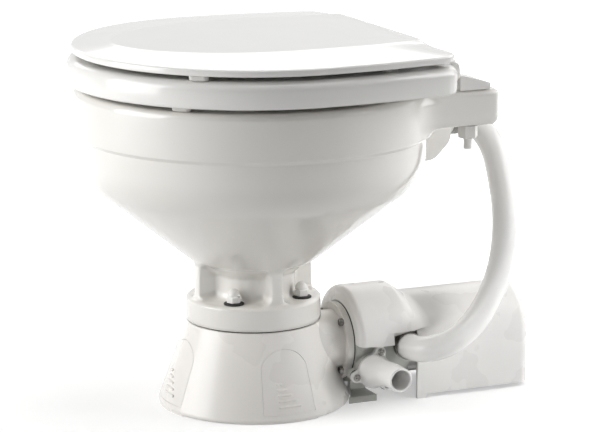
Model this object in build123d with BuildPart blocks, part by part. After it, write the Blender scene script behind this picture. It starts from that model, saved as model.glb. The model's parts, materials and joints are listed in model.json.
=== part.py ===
from build123d import *
import os
from math import cos, pi, radians, sin, sqrt, tan

# Electric marine toilet, in millimetres.
# The origin is the centre of the base on the floor, +Z is up and the bowl's front points to -Y.
# The pump and motor lie behind the base along +Y, and the discharge port faces +X.

os.makedirs("parts", exist_ok=True)

# Clearances shared by all pieces
overrun = 3.0
loose_gap = 0.3
running_fit = 0.05
screw_fit = 0.25
hex_sides = 6

# Base cone
base_height = 80.0
base_foot_radius = 92.0
base_top_radius = 63.5
base_wall = 4.0
base_top_thickness = 8.0
base_edge_round = 3.5
sump_radius = 32.0
sump_wall = 4.0
sump_floor_height = 12.0
sump_floor_thickness = 5.0

# Floor bolt pockets and their arched covers
cover_angles = (0.0, 180.0, 270.0)
arch_foot_half = 26.0
arch_shoulder_half = 22.5
arch_bottom_height = 8.0
arch_shoulder_height = 50.0
arch_top_height = 65.0
arch_cover_thickness = 3.0
floor_bolt_circle_radius = 66.0
floor_bolt_hole_radius = 4.25
pocket_back = 47.0
pocket_wall = 3.0
rib_count = 5
rib_height = 1.2
rib_stand = 0.9
rib_pitch = 5.0
rib_longest = 20.0
rib_shortening = 4.2
rib_first_height = 15.0

# Bowl
gasket_thickness = 1.5
foot_height = 22.5
foot_bevel = 2.5
neck_radius = 58.0
neck_height = 34.0
flank_radius = 160.5
flank_height = 80.0
side_radius = 163.0
side_height = 40.0
rim_step = 3.5
rim_height = 42.5
rim_opening_radius = 128.0
rim_lip_height = 34.0
rim_undercut = 18.0
rim_round = 6.0
outlet_radius = 28.0
well_bottom_radius = 34.0
well_bottom_height = 52.0
well_top_height = 147.0
flank_round = 48.0
neck_round = 9.0

# Foot pockets for the four bowl bolts
bowl_bolt_count = 4
bowl_bolt_first_angle = 45.0
bowl_bolt_circle_radius = 48.5
bowl_bolt_radius = 4.0
bowl_stud_depth_in_base = 6.0
foot_pocket_half_width = 27.0
foot_pocket_depth_radius = 39.0
foot_pocket_height = 27.0
bolt_washer_radius = 9.5
bolt_washer_thickness = 2.0
bolt_nut_radius = 7.0
bolt_nut_height = 13.0
bolt_nut_dome_share = 1 / 3
bowl_bolt_play = 1.0

# Rear shelf and water inlet of the bowl
shelf_half_width = 112.0
shelf_front = 95.0
shelf_rear = 202.0
shelf_drop_below_rim = 0.5
shelf_thickness = 34.5
shelf_corner = 16.0
shelf_edge_round = 7.0
inlet_half_width = 19.0
inlet_drop_below_shelf = 15.0
inlet_face = 199.0
inlet_boss_depth = 47.0
inlet_bore_radius = 9.0
inlet_bore_length = 60.0
inlet_flange_radius = 13.0
inlet_flange_thickness = 5.0
inlet_tail_length = 22.0

# Seat
seat_gap = 5.0
seat_thickness = 24.5
seat_half_width = 172.0
seat_front = 173.0
seat_rear = 142.0
seat_side_reach = 320.0
seat_corner = 26.0
seat_opening_half_width = 106.0
seat_opening_front = 118.0
seat_opening_rear = 96.0
seat_top_round = 9.0
seat_bottom_round = 3.0

# Lid
lid_gap = 4.5
lid_thickness = 12.0
lid_skirt = 6.5
lid_half_width = 170.0
lid_front = 168.0
lid_rear = 138.0
lid_corner = 22.0
lid_plateau_half_width = 119.0
lid_plateau_front = 132.0
lid_plateau_rear = 127.0
lid_plateau_corner = 30.0
lid_recess = 3.5
lid_rim_width = 9.0

# Bumpers under seat and lid
bumper_length = 18.0
bumper_width = 8.0
seat_bumper_inset = 14.5
lid_bumper_inset = 4.5
seat_bumper_angles = (-62.0, 28.0)
lid_bumper_angles = (-58.0, 25.0)

# Seat hinge
hinge_y = 151.0
hinge_drop_below_lid = 9.0
knuckle_radius = 5.2
pin_radius = 2.5
ear_inner_x = 68.0
ear_width = 10.0
seat_knuckle_width = 13.6
lid_knuckle_width = 17.6
block_front_gap = 9.0
block_length = 31.0
block_width = 43.0
block_front_height = 14.5
block_rear_height = 5.5
stud_x = 92.0
stud_y = 178.0
stud_radius = 4.0
stud_hole_radius = 5.0
stud_length_below_shelf = 24.0
stud_depth_in_block = 5.0
hinge_washer_radius = 10.5
hinge_washer_thickness = 1.2
hinge_nut_radius = 9.5
hinge_nut_height = 12.0
lug_root_radius = 2.4
lug_root_reach = 15.0

# Pump and motor axis
pump_x = 22.0
pump_z = 55.0
base_boss_radius = 30.0
base_flange_radius = 37.0
base_flange_thickness = 6.0
base_flange_margin = 0.25
base_port_radius = 20.0
base_boss_start = 30.0
flange_bolt_radius_place = 33.0
flange_bolt_count = 4
flange_bolt_angle = 45.0
flange_bolt_radius = 2.5
flange_bolt_head_radius = 3.6
flange_bolt_head_height = 3.5
housing_seal_thickness = 1.0
housing_flange_radius = 40.0
housing_flange_thickness = 6.0
housing_radius = 41.0
housing_wall = 7.0
housing_length = 37.0
housing_foot_before_flange = 18.0
housing_foot_near = 32.0
housing_foot_far = 30.0
housing_foot_length = 44.0
housing_foot_thickness = 6.0
housing_web_half_width = 6.0

# Discharge port
port_from_flange = 16.5
port_z = 34.0
port_face_x = 66.0
port_neck_radius = 15.0
port_pad_thickness = 7.0
port_gasket_thickness = 1.0
port_flange_thickness = 4.0
port_flange_radius = 16.5
port_lobe_radius = 5.6
port_lobe_blend = 4.0
port_screw_place = 19.0
port_screw_count = 3
port_screw_first_angle = 70.0
port_screw_radius = 2.0
port_screw_head_radius = 3.6
port_screw_head_height = 2.0
port_slot_length_share = 1.3
port_screw_length = 12.0
port_slot_width = 1.1
port_slot_depth = 1.2
port_turn = 10.0
port_bell_length = 17.0
port_tail_length = 23.0
port_tail_radius = 12.5
port_bore_radius = 9.5

# Wet end
shaft_radius = 4.0
shaft_from_flange = 5.0
chopper_from_flange = 8.5
chopper_thickness = 3.5
chopper_radius = 31.0
chopper_arm_width = 12.0
chopper_hub_radius = 8.0
wear_plate_from_flange = 13.5
wear_plate_thickness = 2.5
wear_plate_hole_radius = 15.0
impeller_from_flange = 17.5
impeller_disc_thickness = 2.5
impeller_vane_height = 7.0
impeller_radius = 32.0
impeller_hub_radius = 9.0
impeller_vane_count = 6
impeller_vane_thickness = 2.5
seal_radius = 9.0
seal_length = 3.0

# Rinse pump
rinse_body_length = 20.0
rinse_body_radius = 41.0
rinse_wall = 6.0
rinse_chamber_radius = 23.0
rinse_impeller_radius = 21.5
rinse_hub_radius = 9.0
rinse_vane_count = 6
rinse_vane_thickness = 3.0
rinse_tip_radius = 2.4
rinse_side_gap = 0.5
rinse_nozzle_radius = 13.0
rinse_collar_length = 4.0
rinse_nozzle_reach = 42.0
rinse_bore_radius = 6.0
rinse_barb_length = 9.0
intake_length = 18.0
tie_bolt_count = 4
tie_bolt_angle = 45.0
tie_bolt_place = 37.0
tie_bolt_radius = 1.75
tie_bolt_head_radius = 3.0
tie_bolt_head_height = 2.0
tie_bolt_depth_in_housing = 14.0

# Motor
adapter_length = 9.0
adapter_lip = 4.0
motor_radius = 35.5
motor_wall = 2.0
motor_length = 105.0
motor_bolt_place = 29.5
motor_bolt_count = 2
motor_bolt_radius = 2.0
motor_bolt_head_radius = 3.5
motor_bolt_head_height = 3.0
motor_bolt_depth_in_adapter = 6.0
end_cap_length = 9.0
bearing_radius = 10.0
bearing_length = 6.0
shaft_end_gap = 2.0
armature_radius = 24.0
armature_from_flange = 77.0
armature_length = 62.0
armature_slot_count = 10
armature_slot_width = 3.0
armature_slot_depth = 6.0
magnet_gap = 1.5
magnet_overhang = 3.0
magnet_half_angle = 58.0
magnet_angles = (90.0, 270.0)
commutator_radius = 9.5
commutator_length = 12.0
commutator_from_flange = 146.0
brush_width = 6.0
brush_length = 11.0
brush_holder_wall = 1.5

# Motor cover
cover_wall = 3.0
cover_radius = 42.0
cover_rear_from_flange = 184.0
cover_floor_gap = 4.0
cover_boss_radius = 52.0
cover_boss_from_flange = 10.0
cover_boss_length = 52.0
cover_taper_length = 12.0
cover_front_opening = 44.5
cover_boss_skirt = 3.0
cover_side_from_flange = 64.0
cover_slot_from_flange = 35.0
cover_slot_top = 73.0
cover_edge_round = 9.0
cover_front_round = 8.0
cover_tab_length = 10.0
cover_screw_boss_radius = 5.0
cover_screw_length = 14.0
cover_rib_thickness = 3.0
cover_ribs_from_flange = (87.0, 154.0)
cover_screw_radius = 2.0
cover_screw_head_radius = 4.0
cover_screw_head_height = 2.2
cover_screw_place = 22.0
cover_screw_count = 2
cover_screw_angle = 90.0
grommet_radius = 7.0
grommet_lip = 2.0
grommet_lip_thickness = 1.5
grommet_bore_radius = 3.5
grommet_height = 22.0
grommet_from_flange = 167.0

# Flush hose
hose_radius = 12.2
hose_bore_radius = 9.0
hose_bend_share = 0.45
hose_from_pump = ((0, 0, 0), (20, 0, 0), (37, 9, 3), (44, 28, 10), (39, 51, 22))
hose_to_inlet = (
    (92, 0, -155),
    (77, 21, -123),
    (59, 33, -85),
    (41, 36, -50),
    (24, 37, -24),
    (8, 31, -7),
    (0, 17, 0),
    (0, 0, 0),
)
clip_width = 8.0
clip_thickness = 1.2
clip_ear_radius = 3.0
clip_start = 0.5

# Sizes that follow from the ones above
base_slope_share = (base_foot_radius - base_top_radius) / base_height
bowl_bottom = base_height + gasket_thickness
foot_top = bowl_bottom + foot_height
flare_start = foot_top + neck_height
flank_top = flare_start + flank_height
step_height = flank_top + side_height
rim_radius = side_radius + rim_step
rim_top = step_height + rim_step + rim_height
seat_bottom = rim_top + seat_gap
seat_top = seat_bottom + seat_thickness
lid_bottom = seat_top + lid_gap
lid_top = lid_bottom + lid_thickness
shelf_top = rim_top - shelf_drop_below_rim
shelf_bottom = shelf_top - shelf_thickness
hinge_z = lid_bottom - hinge_drop_below_lid
seat_knuckle_x = ear_inner_x + ear_width + loose_gap
lid_knuckle_x = seat_knuckle_x + seat_knuckle_width + loose_gap
knuckles_end = lid_knuckle_x + lid_knuckle_width
block_front = hinge_y + block_front_gap
inlet_z = shelf_bottom - inlet_drop_below_shelf
base_flange_face = (base_foot_radius + base_top_radius) / 2 + base_flange_margin
housing_start = base_flange_face + housing_seal_thickness
housing_foot_start = base_flange_face - housing_foot_before_flange
port_y = base_flange_face + port_from_flange
shaft_start = base_flange_face + shaft_from_flange
chopper_start = base_flange_face + chopper_from_flange
wear_plate_start = base_flange_face + wear_plate_from_flange
impeller_start = base_flange_face + impeller_from_flange
armature_start = base_flange_face + armature_from_flange
commutator_start = base_flange_face + commutator_from_flange
cover_rear = base_flange_face + cover_rear_from_flange
cover_boss_front = base_flange_face + cover_boss_from_flange
cover_side_start = base_flange_face + cover_side_from_flange
cover_slot_start = base_flange_face + cover_slot_from_flange
grommet_y = base_flange_face + grommet_from_flange
housing_body_start = housing_start + housing_flange_thickness
housing_end = housing_start + housing_length
rinse_end = housing_end + rinse_body_length
motor_start = rinse_end + adapter_lip
adapter_end = rinse_end + adapter_length
adapter_radius = motor_radius - motor_wall - running_fit
motor_end = motor_start + motor_length
cap_end = motor_end + end_cap_length
rinse_chamber_start = housing_end + rinse_wall
rinse_middle = (rinse_chamber_start + rinse_end) / 2
chamber_radius = housing_radius - housing_wall
nozzle_end_x = pump_x + rinse_nozzle_reach
intake_end_x = pump_x - rinse_nozzle_reach
intake_tip_x = intake_end_x - intake_length
barb_radius = hose_bore_radius - loose_gap
port_flange_face = port_face_x + port_gasket_thickness
port_front = port_flange_face + port_flange_thickness
cover_tube_start = cover_boss_front + cover_boss_length
cover_boss_end = cover_tube_start - cover_taper_length
cover_skirt_z = pump_z + cover_boss_skirt
base_centre = (Align.CENTER, Align.CENTER, Align.MIN)
bolt_angles = [bowl_bolt_first_angle + 360 / bowl_bolt_count * turn for turn in range(bowl_bolt_count)]


def save(piece, node):
    """Labels a finished piece and writes its file."""
    piece.part.label = node
    export_step(piece.part, f"parts/{node}.step")


def base_radius_at(height):
    """Radius of the base cone at a height."""
    return base_foot_radius - base_slope_share * height


def across(y, x=pump_x, z=pump_z):
    """Plane that faces +Y, on the pump axis unless placed elsewhere."""
    return Plane(origin=(x, y, z), x_dir=(1, 0, 0), z_dir=(0, 1, 0))


def sideways(x, y, z):
    """Plane that faces +X, with its own x along +Y."""
    return Plane(origin=(x, y, z), x_dir=(0, 1, 0), z_dir=(1, 0, 0))


def turned(angles, height=0.0):
    """Places about the base axis, one for each angle."""
    return [Location((0, 0, height), (0, 0, angle)) for angle in angles]


def arch_line():
    """Arch outline of a bolt pocket."""
    with BuildLine() as arch:
        Line((-arch_foot_half, arch_bottom_height), (arch_foot_half, arch_bottom_height))
        Line((arch_foot_half, arch_bottom_height), (arch_shoulder_half, arch_shoulder_height))
        ThreePointArc(
            (arch_shoulder_half, arch_shoulder_height),
            (0, arch_top_height),
            (-arch_shoulder_half, arch_shoulder_height),
        )
        Line((-arch_shoulder_half, arch_shoulder_height), (-arch_foot_half, arch_bottom_height))
    return arch.line


def plan_line(half_width, front, rear, side_reach=seat_side_reach):
    """Seat or lid outline: half an ellipse in front, gently drawn-in sides and a straight rear."""
    rear_half = half_width * sqrt(1 - (rear / side_reach) ** 2)
    middle = rear / 2
    middle_half = half_width * sqrt(1 - (middle / side_reach) ** 2)
    with BuildLine() as plan:
        EllipticalCenterArc((0, 0), half_width, front, start_angle=180, arc_size=180)
        ThreePointArc((half_width, 0), (middle_half, middle), (rear_half, rear))
        Line((rear_half, rear), (-rear_half, rear))
        ThreePointArc((-rear_half, rear), (-middle_half, middle), (-half_width, 0))
    return plan.line


# Base: a hollow cone with a sump in the middle, a boss for the pump and three bolt pockets
with BuildPart() as pocket_block:
    Cone(
        base_foot_radius - base_wall / 2,
        base_top_radius - base_wall / 2,
        base_height,
        align=base_centre,
    )
    with BuildSketch(Plane.YZ.offset(pocket_back - pocket_wall)):
        Rectangle(
            2 * (arch_foot_half + pocket_wall),
            arch_top_height + pocket_wall,
            align=(Align.CENTER, Align.MIN),
        )
    extrude(amount=base_foot_radius, mode=Mode.INTERSECT)

with BuildPart() as pocket_cut:
    with BuildSketch(Plane.YZ.offset(pocket_back)):
        add(arch_line())
        make_face()
        offset(amount=loose_gap)
    extrude(amount=base_foot_radius)

with BuildPart() as base:
    Cone(base_foot_radius, base_top_radius, base_height, align=base_centre)
    fillet(edges().filter_by(GeomType.CIRCLE).group_by(Axis.Z)[0], radius=base_edge_round)
    Cone(
        base_foot_radius - base_wall,
        base_radius_at(base_height - base_top_thickness) - base_wall,
        base_height - base_top_thickness,
        align=base_centre,
        mode=Mode.SUBTRACT,
    )
    with Locations((0, 0, sump_floor_height)):
        Cylinder(sump_radius + sump_wall, base_height - sump_floor_height, align=base_centre)
    with Locations(across(base_boss_start)):
        Cylinder(base_boss_radius, base_flange_face - base_boss_start, align=base_centre)
    with Locations(across(base_flange_face - base_flange_thickness)):
        Cylinder(base_flange_radius, base_flange_thickness, align=base_centre)
    with Locations(*turned(cover_angles)):
        add(pocket_block.part)
    with Locations(*turned(cover_angles)):
        add(pocket_cut.part, mode=Mode.SUBTRACT)
    with Locations((0, 0, sump_floor_height + sump_floor_thickness)):
        Cylinder(sump_radius, base_height, align=base_centre, mode=Mode.SUBTRACT)
    with Locations(across(0)):
        Cylinder(base_port_radius, base_flange_face + overrun, align=base_centre, mode=Mode.SUBTRACT)
    with Locations(across(base_flange_face)):
        Cylinder(
            housing_radius + loose_gap, base_foot_radius, align=base_centre, mode=Mode.SUBTRACT
        )
    with Locations((0, 0, base_height)):
        Cylinder(base_top_radius + loose_gap, base_height, align=base_centre, mode=Mode.SUBTRACT)
    with Locations((0, 0, base_height)):
        with PolarLocations(bowl_bolt_circle_radius, bowl_bolt_count, bowl_bolt_first_angle):
            Cylinder(
                bowl_bolt_radius + running_fit, 2 * bowl_stud_depth_in_base, mode=Mode.SUBTRACT
            )
    with Locations(across(base_flange_face)):
        with PolarLocations(flange_bolt_radius_place, flange_bolt_count, flange_bolt_angle):
            Cylinder(
                flange_bolt_radius + screw_fit, 2 * base_flange_thickness + overrun, mode=Mode.SUBTRACT
            )
            with Locations((0, 0, -base_flange_thickness)):
                Cylinder(
                    flange_bolt_head_radius + loose_gap,
                    flange_bolt_head_height + loose_gap,
                    align=(Align.CENTER, Align.CENTER, Align.MAX),
                    mode=Mode.SUBTRACT,
                )
    with Locations(*turned(cover_angles)):
        with Locations((floor_bolt_circle_radius, 0, 0)):
            Cylinder(floor_bolt_hole_radius, 2 * arch_bottom_height + overrun, mode=Mode.SUBTRACT)
save(base, "base")

# Arched covers that hide the floor bolts, with stepped grip ribs
with BuildPart() as arch_cover:
    Cone(base_foot_radius, base_top_radius, base_height, align=base_centre)
    Cone(
        base_foot_radius - arch_cover_thickness,
        base_top_radius - arch_cover_thickness,
        base_height,
        align=base_centre,
        mode=Mode.SUBTRACT,
    )
    with BuildSketch(Plane.YZ.offset(pocket_back)):
        add(arch_line())
        make_face()
    extrude(amount=base_foot_radius, mode=Mode.INTERSECT)
    for step in range(rib_count):
        rib_z = rib_first_height + rib_pitch * step
        rib_length = rib_longest - rib_shortening * step
        with Locations((base_radius_at(rib_z) - rib_height, (rib_longest - rib_length) / -2, rib_z)):
            Box(2 * (rib_stand + rib_height), rib_length, rib_height)

with BuildPart() as bolt_covers:
    with Locations(*turned(cover_angles)):
        add(arch_cover.part)
save(bolt_covers, "bolt_covers")

# Gasket between base and bowl
with BuildPart() as bowl_gasket:
    with BuildSketch(Plane.XY.offset(base_height)):
        Circle(base_top_radius - foot_bevel)
        Circle(sump_radius - overrun, mode=Mode.SUBTRACT)
        with PolarLocations(bowl_bolt_circle_radius, bowl_bolt_count, bowl_bolt_first_angle):
            Circle(bowl_bolt_radius + screw_fit, mode=Mode.SUBTRACT)
    extrude(amount=gasket_thickness)
save(bowl_gasket, "bowl_gasket")

# Bowl: china body of revolution with foot, rear shelf and inlet boss
with BuildPart() as shelf:
    with BuildSketch(Plane.XY.offset(shelf_bottom)):
        with Locations((0, (shelf_front + shelf_rear) / 2)):
            Rectangle(2 * shelf_half_width, shelf_rear - shelf_front)
        fillet(vertices().group_by(Axis.Y)[-1], radius=shelf_corner)
    extrude(amount=shelf_thickness)
    fillet(faces().sort_by(Axis.Z)[-1].edges(), radius=rim_round)
    fillet(faces().sort_by(Axis.Z)[0].edges(), radius=shelf_edge_round)

with BuildPart() as well:
    with BuildSketch(Plane.XZ):
        with BuildLine():
            Polyline(
                (0, bowl_bottom - overrun),
                (outlet_radius, bowl_bottom - overrun),
                (outlet_radius, bowl_bottom + well_bottom_height - overrun),
                (well_bottom_radius, bowl_bottom + well_bottom_height),
                (rim_opening_radius + rim_undercut, bowl_bottom + well_top_height),
                (rim_opening_radius + rim_undercut, rim_top - rim_lip_height - rim_undercut / 2),
                (rim_opening_radius, rim_top - rim_lip_height),
                (rim_opening_radius, rim_top + overrun),
                (0, rim_top + overrun),
                close=True,
            )
        make_face()
        fillet(
            vertices().sort_by_distance(
                (rim_opening_radius + rim_undercut, bowl_bottom + well_top_height)
            )[0],
            radius=flank_round,
        )
    revolve(axis=Axis.Z)

with BuildPart() as bowl:
    with BuildSketch(Plane.XZ):
        with BuildLine():
            Polyline(
                (0, bowl_bottom),
                (base_top_radius, bowl_bottom),
                (base_top_radius, foot_top - foot_bevel),
                (base_top_radius - foot_bevel, foot_top),
                (neck_radius, foot_top),
                (neck_radius, flare_start),
                (flank_radius, flank_top),
                (side_radius, step_height),
                (rim_radius, step_height + rim_step),
                (rim_radius, rim_top),
                (0, rim_top),
                close=True,
            )
        make_face()
        fillet(vertices().sort_by_distance((flank_radius, flank_top))[0], radius=flank_round)
        fillet(vertices().sort_by_distance((neck_radius, flare_start))[0], radius=neck_round)
        fillet(vertices().sort_by_distance((rim_radius, rim_top))[0], radius=rim_round)
    revolve(axis=Axis.Z)
    with BuildSketch(Plane.YZ.offset(-inlet_half_width)):
        with BuildLine():
            Polyline(
                (shelf_front, shelf_bottom + overrun),
                (shelf_front, shelf_bottom - inlet_boss_depth),
                (inlet_face - inlet_half_width, shelf_bottom - inlet_boss_depth),
                (inlet_face, shelf_bottom - inlet_half_width - inlet_drop_below_shelf),
                (inlet_face, shelf_bottom + overrun),
                close=True,
            )
        make_face()
        fillet(vertices().group_by(Axis.X)[-1].sort_by(Axis.Y)[0], radius=inlet_half_width / 2)
        fillet(
            vertices().sort_by_distance(
                (inlet_face - inlet_half_width, shelf_bottom - inlet_boss_depth)
            )[0],
            radius=inlet_half_width / 2,
        )
    extrude(amount=2 * inlet_half_width)
    add(shelf.part)
    add(well.part, mode=Mode.SUBTRACT)
    with Locations(*turned(bolt_angles, foot_top)):
        with Locations((foot_pocket_depth_radius, 0, 0)):
            Box(
                base_foot_radius,
                2 * foot_pocket_half_width,
                foot_pocket_height,
                align=(Align.MIN, Align.CENTER, Align.MIN),
                mode=Mode.SUBTRACT,
            )
    with Locations((0, 0, bowl_bottom)):
        with PolarLocations(bowl_bolt_circle_radius, bowl_bolt_count, bowl_bolt_first_angle):
            Cylinder(
                bowl_bolt_radius + bowl_bolt_play, 2 * foot_height + overrun, mode=Mode.SUBTRACT
            )
    with Locations((stud_x, stud_y, rim_top), (-stud_x, stud_y, rim_top)):
        Cylinder(stud_hole_radius, 2 * shelf_thickness + overrun, mode=Mode.SUBTRACT)
    with Locations(across(inlet_face - inlet_bore_length, 0, inlet_z)):
        Cylinder(inlet_bore_radius, inlet_bore_length + overrun, align=base_centre, mode=Mode.SUBTRACT)
save(bowl, "bowl")

# Fasteners that clamp the bowl to the base
bolt_places = turned(bolt_angles)
bolt_nut_base = foot_top + bolt_washer_thickness

with BuildPart() as bowl_studs:
    with Locations(*bolt_places):
        with Locations((bowl_bolt_circle_radius, 0, base_height - bowl_stud_depth_in_base)):
            Cylinder(
                bowl_bolt_radius,
                bowl_stud_depth_in_base + bolt_nut_base + bolt_nut_height / 2 - base_height,
                align=base_centre,
            )
save(bowl_studs, "bowl_studs")

with BuildPart() as bowl_bolt_washers:
    with Locations(*bolt_places):
        with Locations((bowl_bolt_circle_radius, 0, foot_top)):
            Cylinder(bolt_washer_radius, bolt_washer_thickness, align=base_centre)
            Hole(bowl_bolt_radius + screw_fit)
save(bowl_bolt_washers, "bowl_bolt_washers")

with BuildPart() as cap_nut:
    with BuildSketch(Plane.XY.offset(bolt_nut_base)):
        RegularPolygon(bolt_nut_radius, hex_sides)
    extrude(amount=bolt_nut_height / 2)
    with BuildSketch(Plane.XY.offset(bolt_nut_base + bolt_nut_height / 2)):
        Circle(bolt_nut_radius * cos(pi / hex_sides))
    extrude(amount=bolt_nut_height / 2)
    fillet(faces().sort_by(Axis.Z)[-1].edges(), radius=bolt_nut_dome_share * bolt_nut_height)
    with Locations((0, 0, bolt_nut_base)):
        Cylinder(
            bowl_bolt_radius + running_fit, bolt_nut_height + 2 * loose_gap, mode=Mode.SUBTRACT
        )

with BuildPart() as bowl_bolt_nuts:
    with Locations(*bolt_places):
        with Locations((bowl_bolt_circle_radius, 0, 0)):
            add(cap_nut.part)
save(bowl_bolt_nuts, "bowl_bolt_nuts")

# Water inlet spud in the bowl's rear boss
with BuildPart() as inlet_spud:
    with Locations(across(inlet_face, 0, inlet_z)):
        Cylinder(inlet_flange_radius, inlet_flange_thickness, align=base_centre)
    with Locations(across(inlet_face - inlet_tail_length, 0, inlet_z)):
        Cylinder(inlet_bore_radius - screw_fit, inlet_tail_length, align=base_centre)
    with Locations(across(inlet_face, 0, inlet_z)):
        Cylinder(barb_radius, inlet_flange_thickness + rinse_barb_length, align=base_centre)
    with Locations(across(inlet_face - inlet_tail_length, 0, inlet_z)):
        Cylinder(
            rinse_bore_radius,
            inlet_tail_length + inlet_flange_thickness + rinse_barb_length,
            align=base_centre,
            mode=Mode.SUBTRACT,
        )
save(inlet_spud, "inlet_spud")

# Seat: a rounded ring with hinge knuckles and notches for the lid's knuckles
with BuildPart() as seat:
    with BuildSketch(Plane.XY.offset(seat_bottom)):
        add(plan_line(seat_half_width, seat_front, seat_rear))
        make_face()
        fillet(vertices().group_by(Axis.Y)[-1], radius=seat_corner)
    extrude(amount=seat_thickness)
    fillet(faces().sort_by(Axis.Z)[-1].edges(), radius=seat_top_round)
    fillet(faces().sort_by(Axis.Z)[0].edges(), radius=seat_bottom_round)
    with BuildSketch(Plane.XY.offset(seat_bottom)) as seat_opening:
        with BuildLine():
            EllipticalCenterArc(
                (0, 0), seat_opening_half_width, seat_opening_front, start_angle=180, arc_size=180
            )
            EllipticalCenterArc(
                (0, 0), seat_opening_half_width, seat_opening_rear, start_angle=0, arc_size=180
            )
        make_face()
    extrude(amount=seat_thickness, mode=Mode.SUBTRACT)
    opening_edges = edges().filter_by_position(Axis.X, -seat_opening_half_width, seat_opening_half_width)
    opening_edges = opening_edges.filter_by_position(Axis.Y, -seat_opening_front, seat_opening_rear)
    fillet(opening_edges.group_by(Axis.Z)[-1], radius=seat_top_round)
    fillet(opening_edges.group_by(Axis.Z)[0], radius=seat_bottom_round)
    for side in (-1, 1):
        with Locations((side * (lid_knuckle_x + lid_knuckle_width / 2), seat_rear, seat_bottom)):
            Box(
                lid_knuckle_width + 2 * loose_gap + 2 * lug_root_radius,
                2 * knuckle_radius,
                seat_thickness + overrun,
                align=base_centre,
                mode=Mode.SUBTRACT,
            )
        with BuildSketch(Plane.YZ.offset(side * (seat_knuckle_x + seat_knuckle_width / 2))):
            with Locations((hinge_y, hinge_z)):
                Circle(knuckle_radius)
            with Locations((seat_rear - knuckle_radius, seat_top - seat_top_round - knuckle_radius)):
                Circle(knuckle_radius / 2)
            make_hull()
        extrude(amount=seat_knuckle_width / 2, both=True)
    with Locations(Plane.YZ):
        with Locations((hinge_y, hinge_z, 0)):
            Cylinder(pin_radius, 2 * seat_half_width, mode=Mode.SUBTRACT)
save(seat, "seat")

# Lid: a shallow shell with a bevelled top and two hinge knuckles
with BuildPart() as lid:
    with BuildSketch(Plane.XY.offset(lid_bottom)):
        add(plan_line(lid_half_width, lid_front, lid_rear))
        make_face()
        fillet(vertices().group_by(Axis.Y)[-1], radius=lid_corner)
    extrude(amount=lid_skirt)
    with BuildSketch(Plane.XY.offset(lid_bottom + lid_skirt)):
        add(plan_line(lid_half_width, lid_front, lid_rear))
        make_face()
        fillet(vertices().group_by(Axis.Y)[-1], radius=lid_corner)
    with BuildSketch(Plane.XY.offset(lid_top)):
        add(plan_line(lid_plateau_half_width, lid_plateau_front, lid_plateau_rear))
        make_face()
        fillet(vertices().group_by(Axis.Y)[-1], radius=lid_plateau_corner)
    loft(ruled=True)
    with BuildSketch(Plane.XY.offset(lid_bottom)):
        add(
            plan_line(
                lid_half_width - lid_rim_width, lid_front - lid_rim_width, lid_rear - lid_rim_width
            )
        )
        make_face()
        fillet(vertices().group_by(Axis.Y)[-1], radius=lid_corner - lid_rim_width)
    extrude(amount=lid_recess, mode=Mode.SUBTRACT)
    for side in (-1, 1):
        with BuildSketch(Plane.YZ.offset(side * (lid_knuckle_x + lid_knuckle_width / 2))):
            with Locations((hinge_y, hinge_z)):
                Circle(knuckle_radius)
            with Locations((hinge_y - lug_root_reach, lid_bottom + lug_root_radius)):
                Circle(lug_root_radius)
            make_hull()
        extrude(amount=lid_knuckle_width / 2, both=True)
    with Locations(Plane.YZ):
        with Locations((hinge_y, hinge_z, 0)):
            Cylinder(pin_radius + running_fit, 2 * lid_half_width, mode=Mode.SUBTRACT)
save(lid, "lid")


def bumper_places(half_width, front, angles):
    """Places just inside an oval edge, at angles from the base axis, on both sides."""
    places = []
    for angle in angles:
        reach = 1 / sqrt((cos(radians(angle)) / half_width) ** 2 + (sin(radians(angle)) / front) ** 2)
        for side in (angle, 180 - angle):
            spot = (reach * cos(radians(side)), reach * sin(radians(side)), 0)
            places.append(Location(spot, (0, 0, side)))
    return places


# Bumpers: soft pads under the seat and under the lid
with BuildPart() as seat_bumpers:
    for place in bumper_places(
        seat_half_width - seat_bumper_inset, seat_front - seat_bumper_inset, seat_bumper_angles
    ):
        with BuildSketch(Plane(place).offset(rim_top + loose_gap)):
            SlotOverall(bumper_length, bumper_width, rotation=90)
        extrude(amount=seat_gap - loose_gap)
save(seat_bumpers, "seat_bumpers")

with BuildPart() as lid_bumpers:
    for place in bumper_places(
        lid_half_width - lid_bumper_inset, lid_front - lid_bumper_inset, lid_bumper_angles
    ):
        with BuildSketch(Plane(place).offset(seat_top + loose_gap)):
            SlotOverall(bumper_length, bumper_width, rotation=90)
        extrude(amount=lid_gap - loose_gap)
save(lid_bumpers, "lid_bumpers")

# Hinge blocks on the shelf. The pins turn in their ears and in the lid's knuckles, and are
# pressed into the seat's knuckles
block_middle = ear_inner_x + block_width / 2

with BuildPart() as hinge_blocks:
    for side in (-1, 1):
        with BuildSketch(Plane.YZ.offset(side * block_middle)):
            with BuildLine():
                Polyline(
                    (block_front, shelf_top),
                    (block_front + block_length, shelf_top),
                    (block_front + block_length, shelf_top + block_rear_height),
                    (block_front, shelf_top + block_front_height),
                    close=True,
                )
            make_face()
            fillet(vertices().group_by(Axis.Y)[-1], radius=pin_radius)
        extrude(amount=block_width / 2, both=True)
        with BuildSketch(Plane.YZ.offset(side * (ear_inner_x + ear_width / 2))):
            with Locations((hinge_y, hinge_z)):
                Circle(knuckle_radius)
            with Locations((block_front + knuckle_radius, shelf_top + knuckle_radius)):
                Circle(knuckle_radius)
            make_hull()
        extrude(amount=ear_width / 2, both=True)
        with Locations(Plane.YZ.offset(side * ear_inner_x)):
            with Locations((hinge_y, hinge_z, 0)):
                Cylinder(pin_radius + running_fit, 4 * ear_width, mode=Mode.SUBTRACT)
        with Locations((side * stud_x, stud_y, shelf_top)):
            Cylinder(stud_radius, 2 * stud_depth_in_block, mode=Mode.SUBTRACT)
save(hinge_blocks, "hinge_blocks")

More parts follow.
